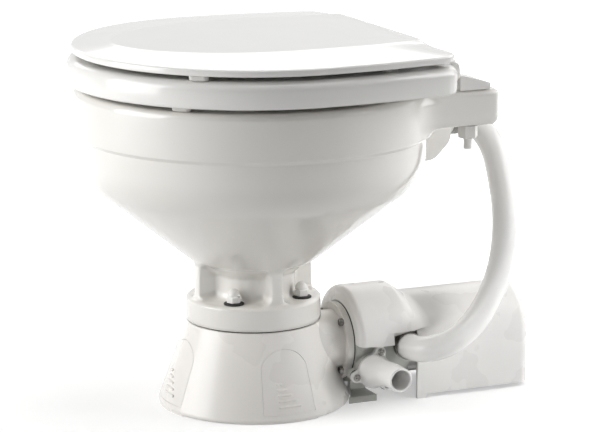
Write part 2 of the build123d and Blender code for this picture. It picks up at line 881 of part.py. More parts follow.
with BuildPart() as hinge_pins:
    for side in (-1, 1):
        with Locations(Plane.YZ.offset(side * (ear_inner_x + knuckles_end) / 2)):
            with Locations((hinge_y, hinge_z, 0)):
                Cylinder(pin_radius, knuckles_end - ear_inner_x - 2 * loose_gap)
save(hinge_pins, "hinge_pins")

stud_spots = [(side * stud_x, stud_y) for side in (-1, 1)]
washer_face = shelf_bottom - hinge_washer_thickness
nut_face = washer_face - hinge_nut_height

with BuildPart() as hinge_studs:
    with BuildSketch(Plane.XY.offset(shelf_bottom - stud_length_below_shelf)):
        with Locations(*stud_spots):
            Circle(stud_radius)
    extrude(amount=stud_length_below_shelf + shelf_thickness + stud_depth_in_block)
save(hinge_studs, "hinge_studs")

with BuildPart() as hinge_washers:
    with BuildSketch(Plane.XY.offset(washer_face)):
        with Locations(*stud_spots):
            Circle(hinge_washer_radius)
            Circle(stud_radius + screw_fit, mode=Mode.SUBTRACT)
    extrude(amount=hinge_washer_thickness)
save(hinge_washers, "hinge_washers")

with BuildPart() as hinge_nuts:
    with BuildSketch(Plane.XY.offset(nut_face)):
        with Locations(*stud_spots):
            RegularPolygon(hinge_nut_radius, hex_sides)
            Circle(stud_radius + running_fit, mode=Mode.SUBTRACT)
    extrude(amount=hinge_nut_height)
save(hinge_nuts, "hinge_nuts")

# Seal and screws between base and pump housing
with BuildPart() as housing_seal:
    with BuildSketch(across(base_flange_face)):
        Circle(base_flange_radius)
        Circle(base_port_radius, mode=Mode.SUBTRACT)
        with PolarLocations(flange_bolt_radius_place, flange_bolt_count, flange_bolt_angle):
            Circle(flange_bolt_radius + screw_fit, mode=Mode.SUBTRACT)
    extrude(amount=housing_seal_thickness)
save(housing_seal, "housing_seal")

flange_bolt_seat = base_flange_face - base_flange_thickness

with BuildPart() as housing_bolts:
    with BuildSketch(across(flange_bolt_seat)):
        with PolarLocations(flange_bolt_radius_place, flange_bolt_count, flange_bolt_angle):
            Circle(flange_bolt_radius)
    extrude(amount=housing_body_start - flange_bolt_seat - loose_gap)
    with BuildSketch(across(flange_bolt_seat)):
        with PolarLocations(flange_bolt_radius_place, flange_bolt_count, flange_bolt_angle):
            RegularPolygon(flange_bolt_head_radius, hex_sides)
    extrude(amount=-flange_bolt_head_height)
save(housing_bolts, "housing_bolts")

# Outline shared by the discharge pad, its gasket and the port's flange
with BuildSketch() as port_face:
    Circle(port_flange_radius)
    with PolarLocations(port_screw_place, port_screw_count, port_screw_first_angle):
        Circle(port_lobe_radius)
    fillet(port_face.vertices(), radius=port_lobe_blend)

# Macerator housing: flange, chamber, discharge pad, and a foot with its web
with BuildPart() as pump_housing:
    with Locations((pump_x + (housing_foot_near - housing_foot_far) / 2, housing_foot_start, 0)):
        Box(
            housing_foot_near + housing_foot_far,
            housing_foot_length,
            housing_foot_thickness,
            align=(Align.CENTER, Align.MIN, Align.MIN),
        )
    with Locations((pump_x, housing_foot_start, 0)):
        Box(
            2 * housing_web_half_width,
            housing_foot_length,
            pump_z,
            align=(Align.CENTER, Align.MIN, Align.MIN),
        )
    Cylinder(
        base_foot_radius + loose_gap, pump_z + overrun, align=base_centre, mode=Mode.SUBTRACT
    )
    with Locations(across(housing_start)):
        Cylinder(housing_flange_radius, housing_flange_thickness, align=base_centre)
    with Locations(across(housing_body_start)):
        Cylinder(housing_radius, housing_end - housing_body_start, align=base_centre)
    with Locations(sideways(pump_x, port_y, port_z)):
        Cylinder(port_neck_radius, port_face_x - pump_x, align=base_centre)
    with BuildSketch(sideways(port_face_x - port_pad_thickness, port_y, port_z)):
        add(port_face.sketch)
    extrude(amount=port_pad_thickness)
    with Locations(across(housing_start)):
        Cylinder(base_port_radius, housing_length, align=base_centre, mode=Mode.SUBTRACT)
    with Locations(across(housing_body_start)):
        Cylinder(chamber_radius, housing_length, align=base_centre, mode=Mode.SUBTRACT)
    with Locations(sideways(pump_x + chamber_radius / 2, port_y, port_z)):
        Cylinder(port_bore_radius, port_face_x, align=base_centre, mode=Mode.SUBTRACT)
    with Locations(across(housing_start)):
        with PolarLocations(flange_bolt_radius_place, flange_bolt_count, flange_bolt_angle):
            Cylinder(
                flange_bolt_radius + running_fit, 2 * housing_flange_thickness, mode=Mode.SUBTRACT
            )
    with Locations(across(housing_end)):
        with PolarLocations(tie_bolt_place, tie_bolt_count, tie_bolt_angle):
            Cylinder(
                tie_bolt_radius + running_fit, 2 * tie_bolt_depth_in_housing, mode=Mode.SUBTRACT
            )
    with Locations(sideways(port_face_x, port_y, port_z)):
        with PolarLocations(port_screw_place, port_screw_count, port_screw_first_angle):
            Cylinder(port_screw_radius + running_fit, 2 * port_screw_length, mode=Mode.SUBTRACT)
save(pump_housing, "pump_housing")

# Discharge port: gasket, flanged bell with a tail, and its three cross-slot screws
with BuildPart() as port_gasket:
    with BuildSketch(sideways(port_face_x, port_y, port_z)):
        add(port_face.sketch)
        Circle(port_bore_radius, mode=Mode.SUBTRACT)
        with PolarLocations(port_screw_place, port_screw_count, port_screw_first_angle):
            Circle(port_screw_radius + screw_fit, mode=Mode.SUBTRACT)
    extrude(amount=port_gasket_thickness)
save(port_gasket, "port_gasket")

tail_across = cos(radians(port_turn))
tail_along = sin(radians(port_turn))
port_axis = Plane(
    origin=(port_flange_face + port_flange_thickness / 2, port_y, port_z),
    x_dir=(-tail_along, tail_across, 0),
    z_dir=(tail_across, tail_along, 0),
)

with BuildPart() as discharge_port:
    with Locations(port_axis):
        Cone(port_flange_radius, port_tail_radius, port_bell_length, align=base_centre)
    with Locations(port_axis.offset(port_bell_length)):
        Cylinder(port_tail_radius, port_tail_length, align=base_centre)
    with Locations((port_flange_face, port_y, port_z)):
        Box(
            port_bell_length,
            4 * port_flange_radius,
            4 * port_flange_radius,
            align=(Align.MAX, Align.CENTER, Align.CENTER),
            mode=Mode.SUBTRACT,
        )
    with BuildSketch(sideways(port_flange_face, port_y, port_z)):
        add(port_face.sketch)
    extrude(amount=port_flange_thickness)
    with Locations(port_axis):
        Cylinder(
            port_bore_radius, 2 * (port_bell_length + port_tail_length) + overrun, mode=Mode.SUBTRACT
        )
    with Locations(sideways(port_flange_face, port_y, port_z)):
        with PolarLocations(port_screw_place, port_screw_count, port_screw_first_angle):
            Cylinder(
                port_screw_radius + screw_fit, 2 * port_flange_thickness + overrun, mode=Mode.SUBTRACT
            )
    with Locations(sideways(port_front, port_y, port_z)):
        with PolarLocations(port_screw_place, port_screw_count, port_screw_first_angle):
            Cylinder(
                port_screw_head_radius + loose_gap,
                port_bell_length,
                align=base_centre,
                mode=Mode.SUBTRACT,
            )
save(discharge_port, "discharge_port")

with BuildPart() as port_screws:
    with BuildSketch(sideways(port_front, port_y, port_z)):
        with PolarLocations(port_screw_place, port_screw_count, port_screw_first_angle):
            Circle(port_screw_radius)
    extrude(amount=loose_gap - port_screw_length)
    with BuildSketch(sideways(port_front, port_y, port_z)):
        with PolarLocations(port_screw_place, port_screw_count, port_screw_first_angle):
            Circle(port_screw_head_radius)
    extrude(amount=port_screw_head_height)
    chamfer(faces().sort_by(Axis.X)[-port_screw_count:].edges(), length=port_screw_head_height / 2)
    with BuildSketch(sideways(port_front + port_screw_head_height, port_y, port_z)):
        with PolarLocations(port_screw_place, port_screw_count, port_screw_first_angle):
            Rectangle(port_slot_length_share * port_screw_head_radius, port_slot_width)
            Rectangle(port_slot_width, port_slot_length_share * port_screw_head_radius)
    extrude(amount=-port_slot_depth, mode=Mode.SUBTRACT)
save(port_screws, "port_screws")

# Wet end on the shaft: chopper blade, wear plate and centrifugal impeller
with BuildPart() as chopper_blade:
    with BuildSketch(across(chopper_start)):
        Circle(chopper_hub_radius)
        Rectangle(2 * chopper_radius, chopper_arm_width)
        Circle(shaft_radius + running_fit, mode=Mode.SUBTRACT)
    extrude(amount=chopper_thickness)
save(chopper_blade, "chopper_blade")

with BuildPart() as wear_plate:
    with BuildSketch(across(wear_plate_start)):
        Circle(chamber_radius - screw_fit)
        Circle(wear_plate_hole_radius, mode=Mode.SUBTRACT)
    extrude(amount=wear_plate_thickness)
save(wear_plate, "wear_plate")

with BuildPart() as centrifugal_impeller:
    with BuildSketch(across(impeller_start)):
        Circle(impeller_hub_radius)
        with PolarLocations(impeller_radius / 2, impeller_vane_count):
            Rectangle(impeller_radius, impeller_vane_thickness)
        Circle(impeller_radius, mode=Mode.INTERSECT)
    extrude(amount=impeller_vane_height)
    with Locations(across(impeller_start + impeller_vane_height)):
        Cylinder(impeller_radius, impeller_disc_thickness, align=base_centre)
    with Locations(across(impeller_start)):
        Cylinder(shaft_radius + running_fit, housing_length, mode=Mode.SUBTRACT)
save(centrifugal_impeller, "centrifugal_impeller")

with BuildPart() as shaft_seals:
    for seal_start in (housing_end, rinse_end):
        with BuildSketch(across(seal_start)):
            Circle(seal_radius)
            Circle(shaft_radius + running_fit, mode=Mode.SUBTRACT)
        extrude(amount=seal_length)
save(shaft_seals, "shaft_seals")

# Rinse pump behind the macerator, with its outlet towards +X and its intake towards -X
with BuildPart() as rinse_pump_body:
    with Locations(across(housing_end)):
        Cylinder(rinse_body_radius, rinse_body_length, align=base_centre)
    for collar_x in (intake_end_x, nozzle_end_x - rinse_collar_length):
        with Locations(sideways(collar_x, rinse_middle, pump_z)):
            Cylinder(rinse_nozzle_radius, rinse_collar_length, align=base_centre)
    with Locations(sideways(nozzle_end_x, rinse_middle, pump_z)):
        Cylinder(barb_radius, rinse_barb_length, align=base_centre)
    with Locations(sideways(intake_tip_x, rinse_middle, pump_z)):
        Cylinder(barb_radius, intake_length, align=base_centre)
    with Locations(across(rinse_chamber_start)):
        Cylinder(rinse_chamber_radius, rinse_body_length, align=base_centre, mode=Mode.SUBTRACT)
    with Locations(sideways(intake_tip_x, rinse_middle, pump_z)):
        Cylinder(
            rinse_bore_radius,
            nozzle_end_x + rinse_barb_length - intake_tip_x,
            align=base_centre,
            mode=Mode.SUBTRACT,
        )
    with Locations(across(housing_end)):
        Cylinder(seal_radius + running_fit, 2 * seal_length, mode=Mode.SUBTRACT)
        Cylinder(shaft_radius + loose_gap, 4 * rinse_wall, mode=Mode.SUBTRACT)
        with PolarLocations(tie_bolt_place, tie_bolt_count, tie_bolt_angle):
            Cylinder(
                tie_bolt_radius + screw_fit, 2 * rinse_body_length + overrun, mode=Mode.SUBTRACT
            )
save(rinse_pump_body, "rinse_pump_body")

with BuildPart() as rinse_impeller:
    with BuildSketch(across(rinse_chamber_start + rinse_side_gap)):
        Circle(rinse_hub_radius)
        with PolarLocations((rinse_impeller_radius - rinse_tip_radius) / 2, rinse_vane_count):
            Rectangle(rinse_impeller_radius - rinse_tip_radius, rinse_vane_thickness)
        with PolarLocations(rinse_impeller_radius - rinse_tip_radius, rinse_vane_count):
            Circle(rinse_tip_radius)
        Circle(shaft_radius + running_fit, mode=Mode.SUBTRACT)
    extrude(amount=rinse_end - rinse_chamber_start - 2 * rinse_side_gap)
save(rinse_impeller, "rinse_impeller")

with BuildPart() as tie_bolts:
    with BuildSketch(across(rinse_end)):
        with PolarLocations(tie_bolt_place, tie_bolt_count, tie_bolt_angle):
            Circle(tie_bolt_radius)
    extrude(amount=loose_gap - rinse_body_length - tie_bolt_depth_in_housing)
    with BuildSketch(across(rinse_end)):
        with PolarLocations(tie_bolt_place, tie_bolt_count, tie_bolt_angle):
            Circle(tie_bolt_head_radius)
    extrude(amount=tie_bolt_head_height)
save(tie_bolts, "tie_bolts")

# Motor: adapter, can, end cap with brush holders, and its two through bolts
adapter_bolt_end = adapter_end - motor_bolt_depth_in_adapter
bearing_start = rinse_end + seal_length

with BuildPart() as motor_adapter:
    with BuildSketch(across(rinse_end)):
        Circle(adapter_radius)
        Circle(seal_radius + running_fit, mode=Mode.SUBTRACT)
    extrude(amount=seal_length)
    with BuildSketch(across(bearing_start)):
        Circle(adapter_radius)
        Circle(bearing_radius + running_fit, mode=Mode.SUBTRACT)
    extrude(amount=adapter_length - seal_length)
    with Locations(across(adapter_end)):
        with PolarLocations(motor_bolt_place, motor_bolt_count):
            Cylinder(
                motor_bolt_radius + running_fit, 2 * motor_bolt_depth_in_adapter, mode=Mode.SUBTRACT
            )
save(motor_adapter, "motor_adapter")

with BuildPart() as motor_can:
    with BuildSketch(across(motor_start)):
        Circle(motor_radius)
        Circle(motor_radius - motor_wall, mode=Mode.SUBTRACT)
    extrude(amount=motor_length)
save(motor_can, "motor_can")

brush_middle = commutator_start + commutator_length / 2
brush_start = commutator_radius + loose_gap
brush_end = brush_start + brush_length
holder_half = brush_width / 2 + screw_fit + brush_holder_wall
holder_middle = (brush_start + brush_end) / 2 + brush_holder_wall

with BuildPart() as motor_end_cap:
    with Locations(across(motor_end)):
        Cylinder(motor_radius, end_cap_length, align=base_centre)
    fillet(faces().sort_by(Axis.Y)[-1].edges(), radius=motor_wall)
    for side in (-1, 1):
        with Locations((pump_x + side * holder_middle, brush_middle - holder_half, pump_z)):
            Box(
                brush_length - 2 * brush_holder_wall,
                motor_end - brush_middle + holder_half,
                2 * holder_half,
                align=(Align.CENTER, Align.MIN, Align.CENTER),
            )
    with Locations((pump_x, brush_middle, pump_z)):
        Box(
            2 * (brush_end + screw_fit),
            brush_width + 2 * screw_fit,
            brush_width + 2 * screw_fit,
            mode=Mode.SUBTRACT,
        )
    with Locations(across(motor_end)):
        Cylinder(bearing_radius + running_fit, 2 * bearing_length, mode=Mode.SUBTRACT)
        Cylinder(
            shaft_radius + 2 * loose_gap, 2 * (end_cap_length - shaft_end_gap), mode=Mode.SUBTRACT
        )
        with PolarLocations(motor_bolt_place, motor_bolt_count):
            Cylinder(
                motor_bolt_radius + screw_fit, 2 * end_cap_length + overrun, mode=Mode.SUBTRACT
            )
    with Locations(across(cap_end)):
        with PolarLocations(cover_screw_place, cover_screw_count, cover_screw_angle):
            Cylinder(cover_screw_radius + running_fit, 2 * (end_cap_length - motor_wall), mode=Mode.SUBTRACT)
save(motor_end_cap, "motor_end_cap")

with BuildPart() as motor_bolts:
    with BuildSketch(across(cap_end)):
        with PolarLocations(motor_bolt_place, motor_bolt_count):
            Circle(motor_bolt_radius)
    extrude(amount=adapter_bolt_end + loose_gap - cap_end)
    with BuildSketch(across(cap_end)):
        with PolarLocations(motor_bolt_place, motor_bolt_count):
            Circle(motor_bolt_head_radius)
    extrude(amount=motor_bolt_head_height)
save(motor_bolts, "motor_bolts")

with BuildPart() as bearings:
    for start in (bearing_start, motor_end):
        with BuildSketch(across(start)):
            Circle(bearing_radius)
            Circle(shaft_radius + running_fit, mode=Mode.SUBTRACT)
        extrude(amount=bearing_length)
save(bearings, "bearings")

# Motor's turning pieces, magnets and brushes
with BuildPart() as motor_shaft:
    with Locations(across(shaft_start)):
        Cylinder(shaft_radius, cap_end - 2 * shaft_end_gap - shaft_start, align=base_centre)
    chamfer(faces().sort_by(Axis.Y)[-1].edges(), length=loose_gap)
save(motor_shaft, "motor_shaft")

with BuildPart() as armature:
    with BuildSketch(across(armature_start)):
        Circle(armature_radius)
        with PolarLocations(armature_radius, armature_slot_count):
            Rectangle(2 * armature_slot_depth, armature_slot_width, mode=Mode.SUBTRACT)
        Circle(shaft_radius + running_fit, mode=Mode.SUBTRACT)
    extrude(amount=armature_length)
save(armature, "armature")

magnet_inner = armature_radius + magnet_gap
magnet_outer = motor_radius - motor_wall

with BuildPart() as magnets:
    for middle in magnet_angles:
        with BuildSketch(across(armature_start - magnet_overhang)):
            with BuildLine():
                inner = CenterArc((0, 0), magnet_inner, middle - magnet_half_angle, 2 * magnet_half_angle)
                outer = CenterArc((0, 0), magnet_outer, middle - magnet_half_angle, 2 * magnet_half_angle)
                Line(inner @ 0, outer @ 0)
                Line(inner @ 1, outer @ 1)
            make_face()
        extrude(amount=armature_length + 2 * magnet_overhang)
save(magnets, "magnets")

with BuildPart() as commutator:
    with BuildSketch(across(commutator_start)):
        Circle(commutator_radius)
        Circle(shaft_radius + running_fit, mode=Mode.SUBTRACT)
    extrude(amount=commutator_length)
save(commutator, "commutator")

with BuildPart() as brushes:
    for side in (-1, 1):
        with Locations((pump_x + side * (brush_start + brush_end) / 2, brush_middle, pump_z)):
            Box(brush_length, brush_width, brush_width)
save(brushes, "brushes")

# Motor cover: a shell with a wide boss in front, saddle ribs over the motor and a foot tab
cover_inner = cover_radius - cover_wall

with BuildPart() as cover_core:
    with BuildSketch(across(cover_boss_end)):
        Circle(cover_inner)
        with Locations((0, pump_z / 2)):
            Rectangle(2 * cover_inner, pump_z)
    extrude(amount=cover_rear - cover_wall - cover_boss_end)
    with Locations(across(cover_boss_front + cover_wall)):
        Cylinder(
            cover_boss_radius - cover_wall,
            cover_boss_end - cover_boss_front - cover_wall,
            align=base_centre,
        )
    with Locations(across(cover_boss_end)):
        Cone(cover_boss_radius - cover_wall, cover_inner, cover_taper_length, align=base_centre)
    with Locations(across(cover_boss_front - overrun)):
        Cylinder(cover_front_opening, 2 * cover_wall + overrun, align=base_centre)

with BuildPart() as motor_cover:
    with BuildSketch(across(cover_tube_start)):
        Circle(cover_radius)
        with Locations((0, (pump_z - cover_floor_gap) / 2)):
            Rectangle(2 * cover_radius, pump_z - cover_floor_gap)
    extrude(amount=cover_rear - cover_tube_start)
    fillet(faces().sort_by(Axis.Y)[-1].edges().sort_by(Axis.Z)[1:], radius=cover_edge_round)
    with Locations(across(cover_boss_end)):
        Cone(cover_boss_radius, cover_radius, cover_taper_length, align=base_centre)
    with Locations(across(cover_boss_front)):
        Cylinder(cover_boss_radius, cover_boss_end - cover_boss_front, align=base_centre)
    fillet(faces().sort_by(Axis.Y)[0].edges(), radius=cover_front_round)
    with Locations((pump_x, cover_boss_front, cover_skirt_z)):
        Box(
            4 * cover_boss_radius,
            cover_side_start - cover_boss_front,
            4 * cover_boss_radius,
            align=(Align.CENTER, Align.MIN, Align.MAX),
            mode=Mode.SUBTRACT,
        )
    add(cover_core.part, mode=Mode.SUBTRACT)
    with Locations((pump_x, cover_slot_start, cover_slot_top)):
        Box(
            4 * cover_boss_radius,
            cover_side_start - cover_slot_start,
            2 * cover_boss_radius,
            align=(Align.CENTER, Align.MIN, Align.MAX),
            mode=Mode.SUBTRACT,
        )
    with Locations((pump_x + cover_radius, cover_side_start, 0)):
        Box(
            cover_wall,
            cover_tab_length,
            2 * cover_floor_gap,
            align=(Align.MAX, Align.MIN, Align.MIN),
        )
    for rib_distance in cover_ribs_from_flange:
        rib_y = base_flange_face + rib_distance
        with BuildSketch(across(rib_y)):
            Circle(cover_inner + cover_wall / 2)
            Circle(motor_radius + loose_gap, mode=Mode.SUBTRACT)
            with Locations((0, cover_radius)):
                Rectangle(4 * cover_radius, 2 * cover_radius, mode=Mode.SUBTRACT)
        extrude(amount=cover_rib_thickness)
    with Locations(across(cover_rear - cover_wall)):
        with PolarLocations(cover_screw_place, cover_screw_count, cover_screw_angle):
            Cylinder(
                cover_screw_boss_radius,
                cover_rear - cover_wall - cap_end,
                align=(Align.CENTER, Align.CENTER, Align.MAX),
            )
            Cylinder(cover_screw_radius + screw_fit, cover_screw_length, mode=Mode.SUBTRACT)
    with Locations(sideways(pump_x - cover_radius, grommet_y, grommet_height)):
        Cylinder(grommet_radius, 2 * cover_wall + overrun, mode=Mode.SUBTRACT)
save(motor_cover, "motor_cover")

with BuildPart() as cover_screws:
    with BuildSketch(across(cover_rear)):
        with PolarLocations(cover_screw_place, cover_screw_count, cover_screw_angle):
            Circle(cover_screw_radius)
    extrude(amount=-cover_screw_length)
    with BuildSketch(across(cover_rear)):
        with PolarLocations(cover_screw_place, cover_screw_count, cover_screw_angle):
            Circle(cover_screw_head_radius)
    extrude(amount=cover_screw_head_height)
    chamfer(faces().sort_by(Axis.Y)[-2:].edges(), length=cover_screw_head_height / 2)
save(cover_screws, "cover_screws")

with BuildPart() as lead_grommet:
    with BuildSketch(sideways(pump_x - cover_radius - grommet_lip_thickness, grommet_y, grommet_height)):
        Circle(grommet_radius + grommet_lip)
    extrude(amount=2 * grommet_lip_thickness + cover_wall)
    with BuildSketch(sideways(pump_x - cover_radius, grommet_y, grommet_height)):
        Circle(grommet_radius + 2 * grommet_lip)
        Circle(grommet_radius, mode=Mode.SUBTRACT)
    extrude(amount=cover_wall, mode=Mode.SUBTRACT)
    with Locations(sideways(pump_x - cover_radius, grommet_y, grommet_height)):
        Cylinder(grommet_bore_radius, 4 * cover_wall, mode=Mode.SUBTRACT)
save(lead_grommet, "lead_grommet")

# Flush hose, from the rinse pump's outlet round behind the bowl to the inlet spud
hose_end_y = inlet_face + inlet_flange_thickness
hose_points = [(nozzle_end_x + x, rinse_middle + y, pump_z + z) for x, y, z in hose_from_pump]
hose_points += [(x, hose_end_y + y, inlet_z + z) for x, y, z in hose_to_inlet]
hose_runs = [Vector(*b) - Vector(*a) for a, b in zip(hose_points, hose_points[1:])]
hose_bends = []
for before, after in zip(hose_runs, hose_runs[1:]):
    half_turn = radians(before.get_angle(after)) / 2
    hose_bends.append(hose_bend_share * min(before.length, after.length) / tan(half_turn))
print("hose bend radii", [round(bend, 1) for bend in hose_bends])

with BuildPart() as flush_hose:
    with BuildLine() as hose_path:
        FilletPolyline(*hose_points, radius=hose_bends)
    with BuildSketch(sideways(nozzle_end_x, rinse_middle, pump_z)):
        Circle(hose_radius)
        Circle(hose_bore_radius, mode=Mode.SUBTRACT)
    sweep()
hose_length = sum(edge.length for edge in hose_path.edges())
hose_section = pi * (hose_radius**2 - hose_bore_radius**2)
print("hose length", round(hose_length, 1), "mm")
hose_share = flush_hose.part.volume / hose_section / hose_length
print("hose volume as a share of section times length", round(hose_share, 5))
save(flush_hose, "flush_hose")

# Clips that hold the hose's two ends
with BuildPart() as hose_clips:
    for clip_plane, ear_side in (
        (sideways(nozzle_end_x + clip_start, rinse_middle, pump_z), -1),
        (across(hose_end_y + clip_start, 0, inlet_z), 1),
    ):
        with BuildSketch(clip_plane):
            Circle(hose_radius + running_fit + clip_thickness)
            with Locations((0, ear_side * (hose_radius + clip_ear_radius))):
                Circle(clip_ear_radius)
            Circle(hose_radius + running_fit, mode=Mode.SUBTRACT)
        extrude(amount=clip_width)
save(hose_clips, "hose_clips")
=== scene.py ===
# %% [markdown]
# # An electric marine toilet, dressed for the camera
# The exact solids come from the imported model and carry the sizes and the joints. This notebook
# gives them their surfaces, remakes the pieces that a lathe, a mould or a potter would leave softer
# than plain solids are, and sets up a plain white studio. Blender works in metres; the tables of
# points are in millimetres.

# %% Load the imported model
import json
import math

import bmesh
import bpy
import numpy as np
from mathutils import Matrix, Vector


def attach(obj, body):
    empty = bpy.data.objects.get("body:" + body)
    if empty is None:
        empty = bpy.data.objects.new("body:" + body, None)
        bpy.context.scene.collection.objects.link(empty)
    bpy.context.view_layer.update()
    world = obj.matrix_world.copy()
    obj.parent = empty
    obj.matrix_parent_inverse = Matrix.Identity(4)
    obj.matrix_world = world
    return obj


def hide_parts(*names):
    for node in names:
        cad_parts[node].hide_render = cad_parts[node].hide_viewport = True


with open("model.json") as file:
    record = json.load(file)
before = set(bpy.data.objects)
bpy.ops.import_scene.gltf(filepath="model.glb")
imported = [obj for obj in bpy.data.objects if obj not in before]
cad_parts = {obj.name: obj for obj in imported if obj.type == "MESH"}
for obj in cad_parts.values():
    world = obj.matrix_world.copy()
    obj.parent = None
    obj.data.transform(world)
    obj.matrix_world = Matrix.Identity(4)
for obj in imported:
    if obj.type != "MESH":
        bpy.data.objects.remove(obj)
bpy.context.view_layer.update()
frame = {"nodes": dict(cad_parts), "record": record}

MM = 0.001
nodes = frame["nodes"]
scene = bpy.context.scene

# %% [markdown]
# ## The camera
# The photograph was taken from the pump's side with a long lens, a little above the rim. A long
# lens far away keeps the rims as flat ovals. The numbers below are the eye's place round the
# object, so the camera is laid out from the point that it looks at.

# %% Camera
VIEW_AZIMUTH = math.radians(66.0)
VIEW_PITCH = math.radians(12.3)
VIEW_DISTANCE = 2706.4 * MM
LOOKED_AT = Vector((17.9, 40.2, 178.0)) * MM
LENS_MM = 172.8

towards_camera = Vector((
    math.sin(VIEW_AZIMUTH) * math.cos(VIEW_PITCH),
    -math.cos(VIEW_AZIMUTH) * math.cos(VIEW_PITCH),
    math.sin(VIEW_PITCH),
))
camera = bpy.data.objects.new("camera", bpy.data.cameras.new("camera"))
camera.data.lens = LENS_MM
camera.data.sensor_width = 36.0
camera.location = LOOKED_AT + towards_camera * VIEW_DISTANCE
camera.rotation_mode = "QUATERNION"
camera.rotation_quaternion = (-towards_camera).to_track_quat("-Z", "Y")
scene.collection.objects.link(camera)
scene.camera = camera
print("camera at", [round(c, 3) for c in camera.location])

# %% [markdown]
# ## The flush hose
# A soft vinyl hose, 24.4 mm thick, leaves the rinse pump sideways, swings out and up round the
# motor's cover and comes down into the bowl's rear inlet. A hose has one springy line with no
# corners, so it is one smooth spline along few points. Its thickness is its bevel's depth, here 1,
# times the radius of each point.

# %% Flush hose
HOSE_RADIUS = 12.2 * MM
HOSE_ROUTE_MM = [
    (64, 129, 55), (84, 129, 55), (101, 138, 58), (108, 157, 65), (103, 180, 77),
    (92, 204, 99), (77, 225, 131), (59, 237, 169), (41, 240, 204), (24, 241, 230),
    (8, 235, 247), (0, 221, 254), (0, 204, 254),
]

hose_line = bpy.data.curves.new("flush_hose_line", "CURVE")
hose_line.dimensions = "3D"
hose_line.bevel_depth = 1.0
hose_line.bevel_resolution = 12
hose_line.resolution_u = 16
hose_line.use_fill_caps = True
hose_spline = hose_line.splines.new("NURBS")
hose_spline.points.add(len(HOSE_ROUTE_MM) - 1)
for point, place in zip(hose_spline.points, HOSE_ROUTE_MM):
    point.co = (*(Vector(place) * MM), 1.0)
    point.radius = HOSE_RADIUS
hose_spline.order_u = 3
hose_spline.use_endpoint_u = True
hose_spline.use_smooth = True
hose = bpy.data.objects.new("rinse_hose", hose_line)
scene.collection.objects.link(hose)
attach(hose, "root")
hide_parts("flush_hose")
print("hose of", len(HOSE_ROUTE_MM), "points")

# %% [markdown]
# ## Small tools for materials and node trees
# Colours are written as on a screen, in sRGB, and shaders want them linear, so one function turns
# them. Another adds a node with its settings and what feeds its sockets, so that each material
# reads as a short list, and a third gives what the new node makes.

# %% Colour and node helpers
def colour(hex_code):
    """A screen colour such as "ECE9E4" as linear red, green, blue and alpha."""
    channels = [int(hex_code[i:i + 2], 16) / 255 for i in (0, 2, 4)]
    linear = [c / 12.92 if c <= 0.04045 else ((c + 0.055) / 1.055) ** 2.4 for c in channels]
    return (*linear, 1.0)


def is_output(value):
    """True for a node's output."""
    return isinstance(value, bpy.types.NodeSocket)


def add_node(tree, kind, settings=None, sockets=None):
    """Adds a node. A socket takes a value, a node's output, or a vector with outputs in it."""
    node = tree.nodes.new(kind)
    for name, value in (settings or {}).items():
        setattr(node, name, value)
    for name, value in (sockets or {}).items():
        if isinstance(value, tuple) and any(is_output(part) for part in value):
            value = add_node(tree, "ShaderNodeCombineXYZ", {}, dict(enumerate(value))).outputs[0]
        if is_output(value):
            tree.links.new(value, node.inputs[name])
        else:
            node.inputs[name].default_value = value
    return node


def made(tree, kind, sockets=None, output=0, **settings):
    """What a new node makes of the sockets and the settings that it is given."""
    return add_node(tree, kind, settings, sockets).outputs[output]


def cleared_tree(owner):
    """The emptied node tree of a material or a world."""
    owner.use_nodes = True
    owner.node_tree.nodes.clear()
    return owner.node_tree


print("white is", [round(c, 3) for c in colour("FFFFFF")])

# %% [markdown]
# ## A base for every finish
# Glaze, moulded plastic, rubber and turned metal differ in colour, gloss and grain, but each has
# the same three things: a tone that drifts a little over a hand's width, a gloss that isn't quite
# even, and a fine relief. One function makes them from real sizes, in millimetres.

# %% The shared finish
def finish(name, tone, shade, drift_mm, gloss, grain_mm, relief_mm, shader_sockets):
    """A material of two tones that drift, a gloss between two roughnesses, and a fine relief."""
    material = bpy.data.materials.new(name)
    tree = cleared_tree(material)
    place = made(tree, "ShaderNodeTexCoord", output="Object")
    drift = made(tree, "ShaderNodeTexNoise", {
        "Vector": place, "Scale": 1 / (drift_mm * MM), "Detail": 3.0, "Roughness": 0.5}, "Fac")
    tones = made(tree, "ShaderNodeMix", {0: drift, 6: colour(tone), 7: colour(shade)}, 2,
                 data_type="RGBA")
    evenness = made(tree, "ShaderNodeMapRange", {
        "Value": drift, "From Min": 0.3, "From Max": 0.7, "To Min": gloss[0], "To Max": gloss[1]})
    grain = made(tree, "ShaderNodeTexNoise", {
        "Vector": place, "Scale": 1 / (grain_mm * MM), "Detail": 2.0, "Roughness": 0.5}, "Fac")
    relief = made(tree, "ShaderNodeBump", {
        "Strength": 1.0, "Distance": relief_mm * MM, "Height": grain})
    shader = made(tree, "ShaderNodeBsdfPrincipled", {
        "Base Color": tones, "Roughness": evenness, "Normal": relief, **shader_sockets})
    add_node(tree, "ShaderNodeOutputMaterial", {}, {"Surface": shader})
    return material


print("a finish takes two tones, a gloss and a relief")

# %% [markdown]
# ## The finishes
# Vitreous china is fired clay under a clear glass glaze, which pools in slow ripples a couple of
# centimetres apart. The seat is a moulding under baked enamel. The base and the fittings are
# moulded in several plastics, each with the faint grain of its mould. Real grain is a few tenths of
# a millimetre and would vanish at this distance, so it is drawn a little coarser.
#
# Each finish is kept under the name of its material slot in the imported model.

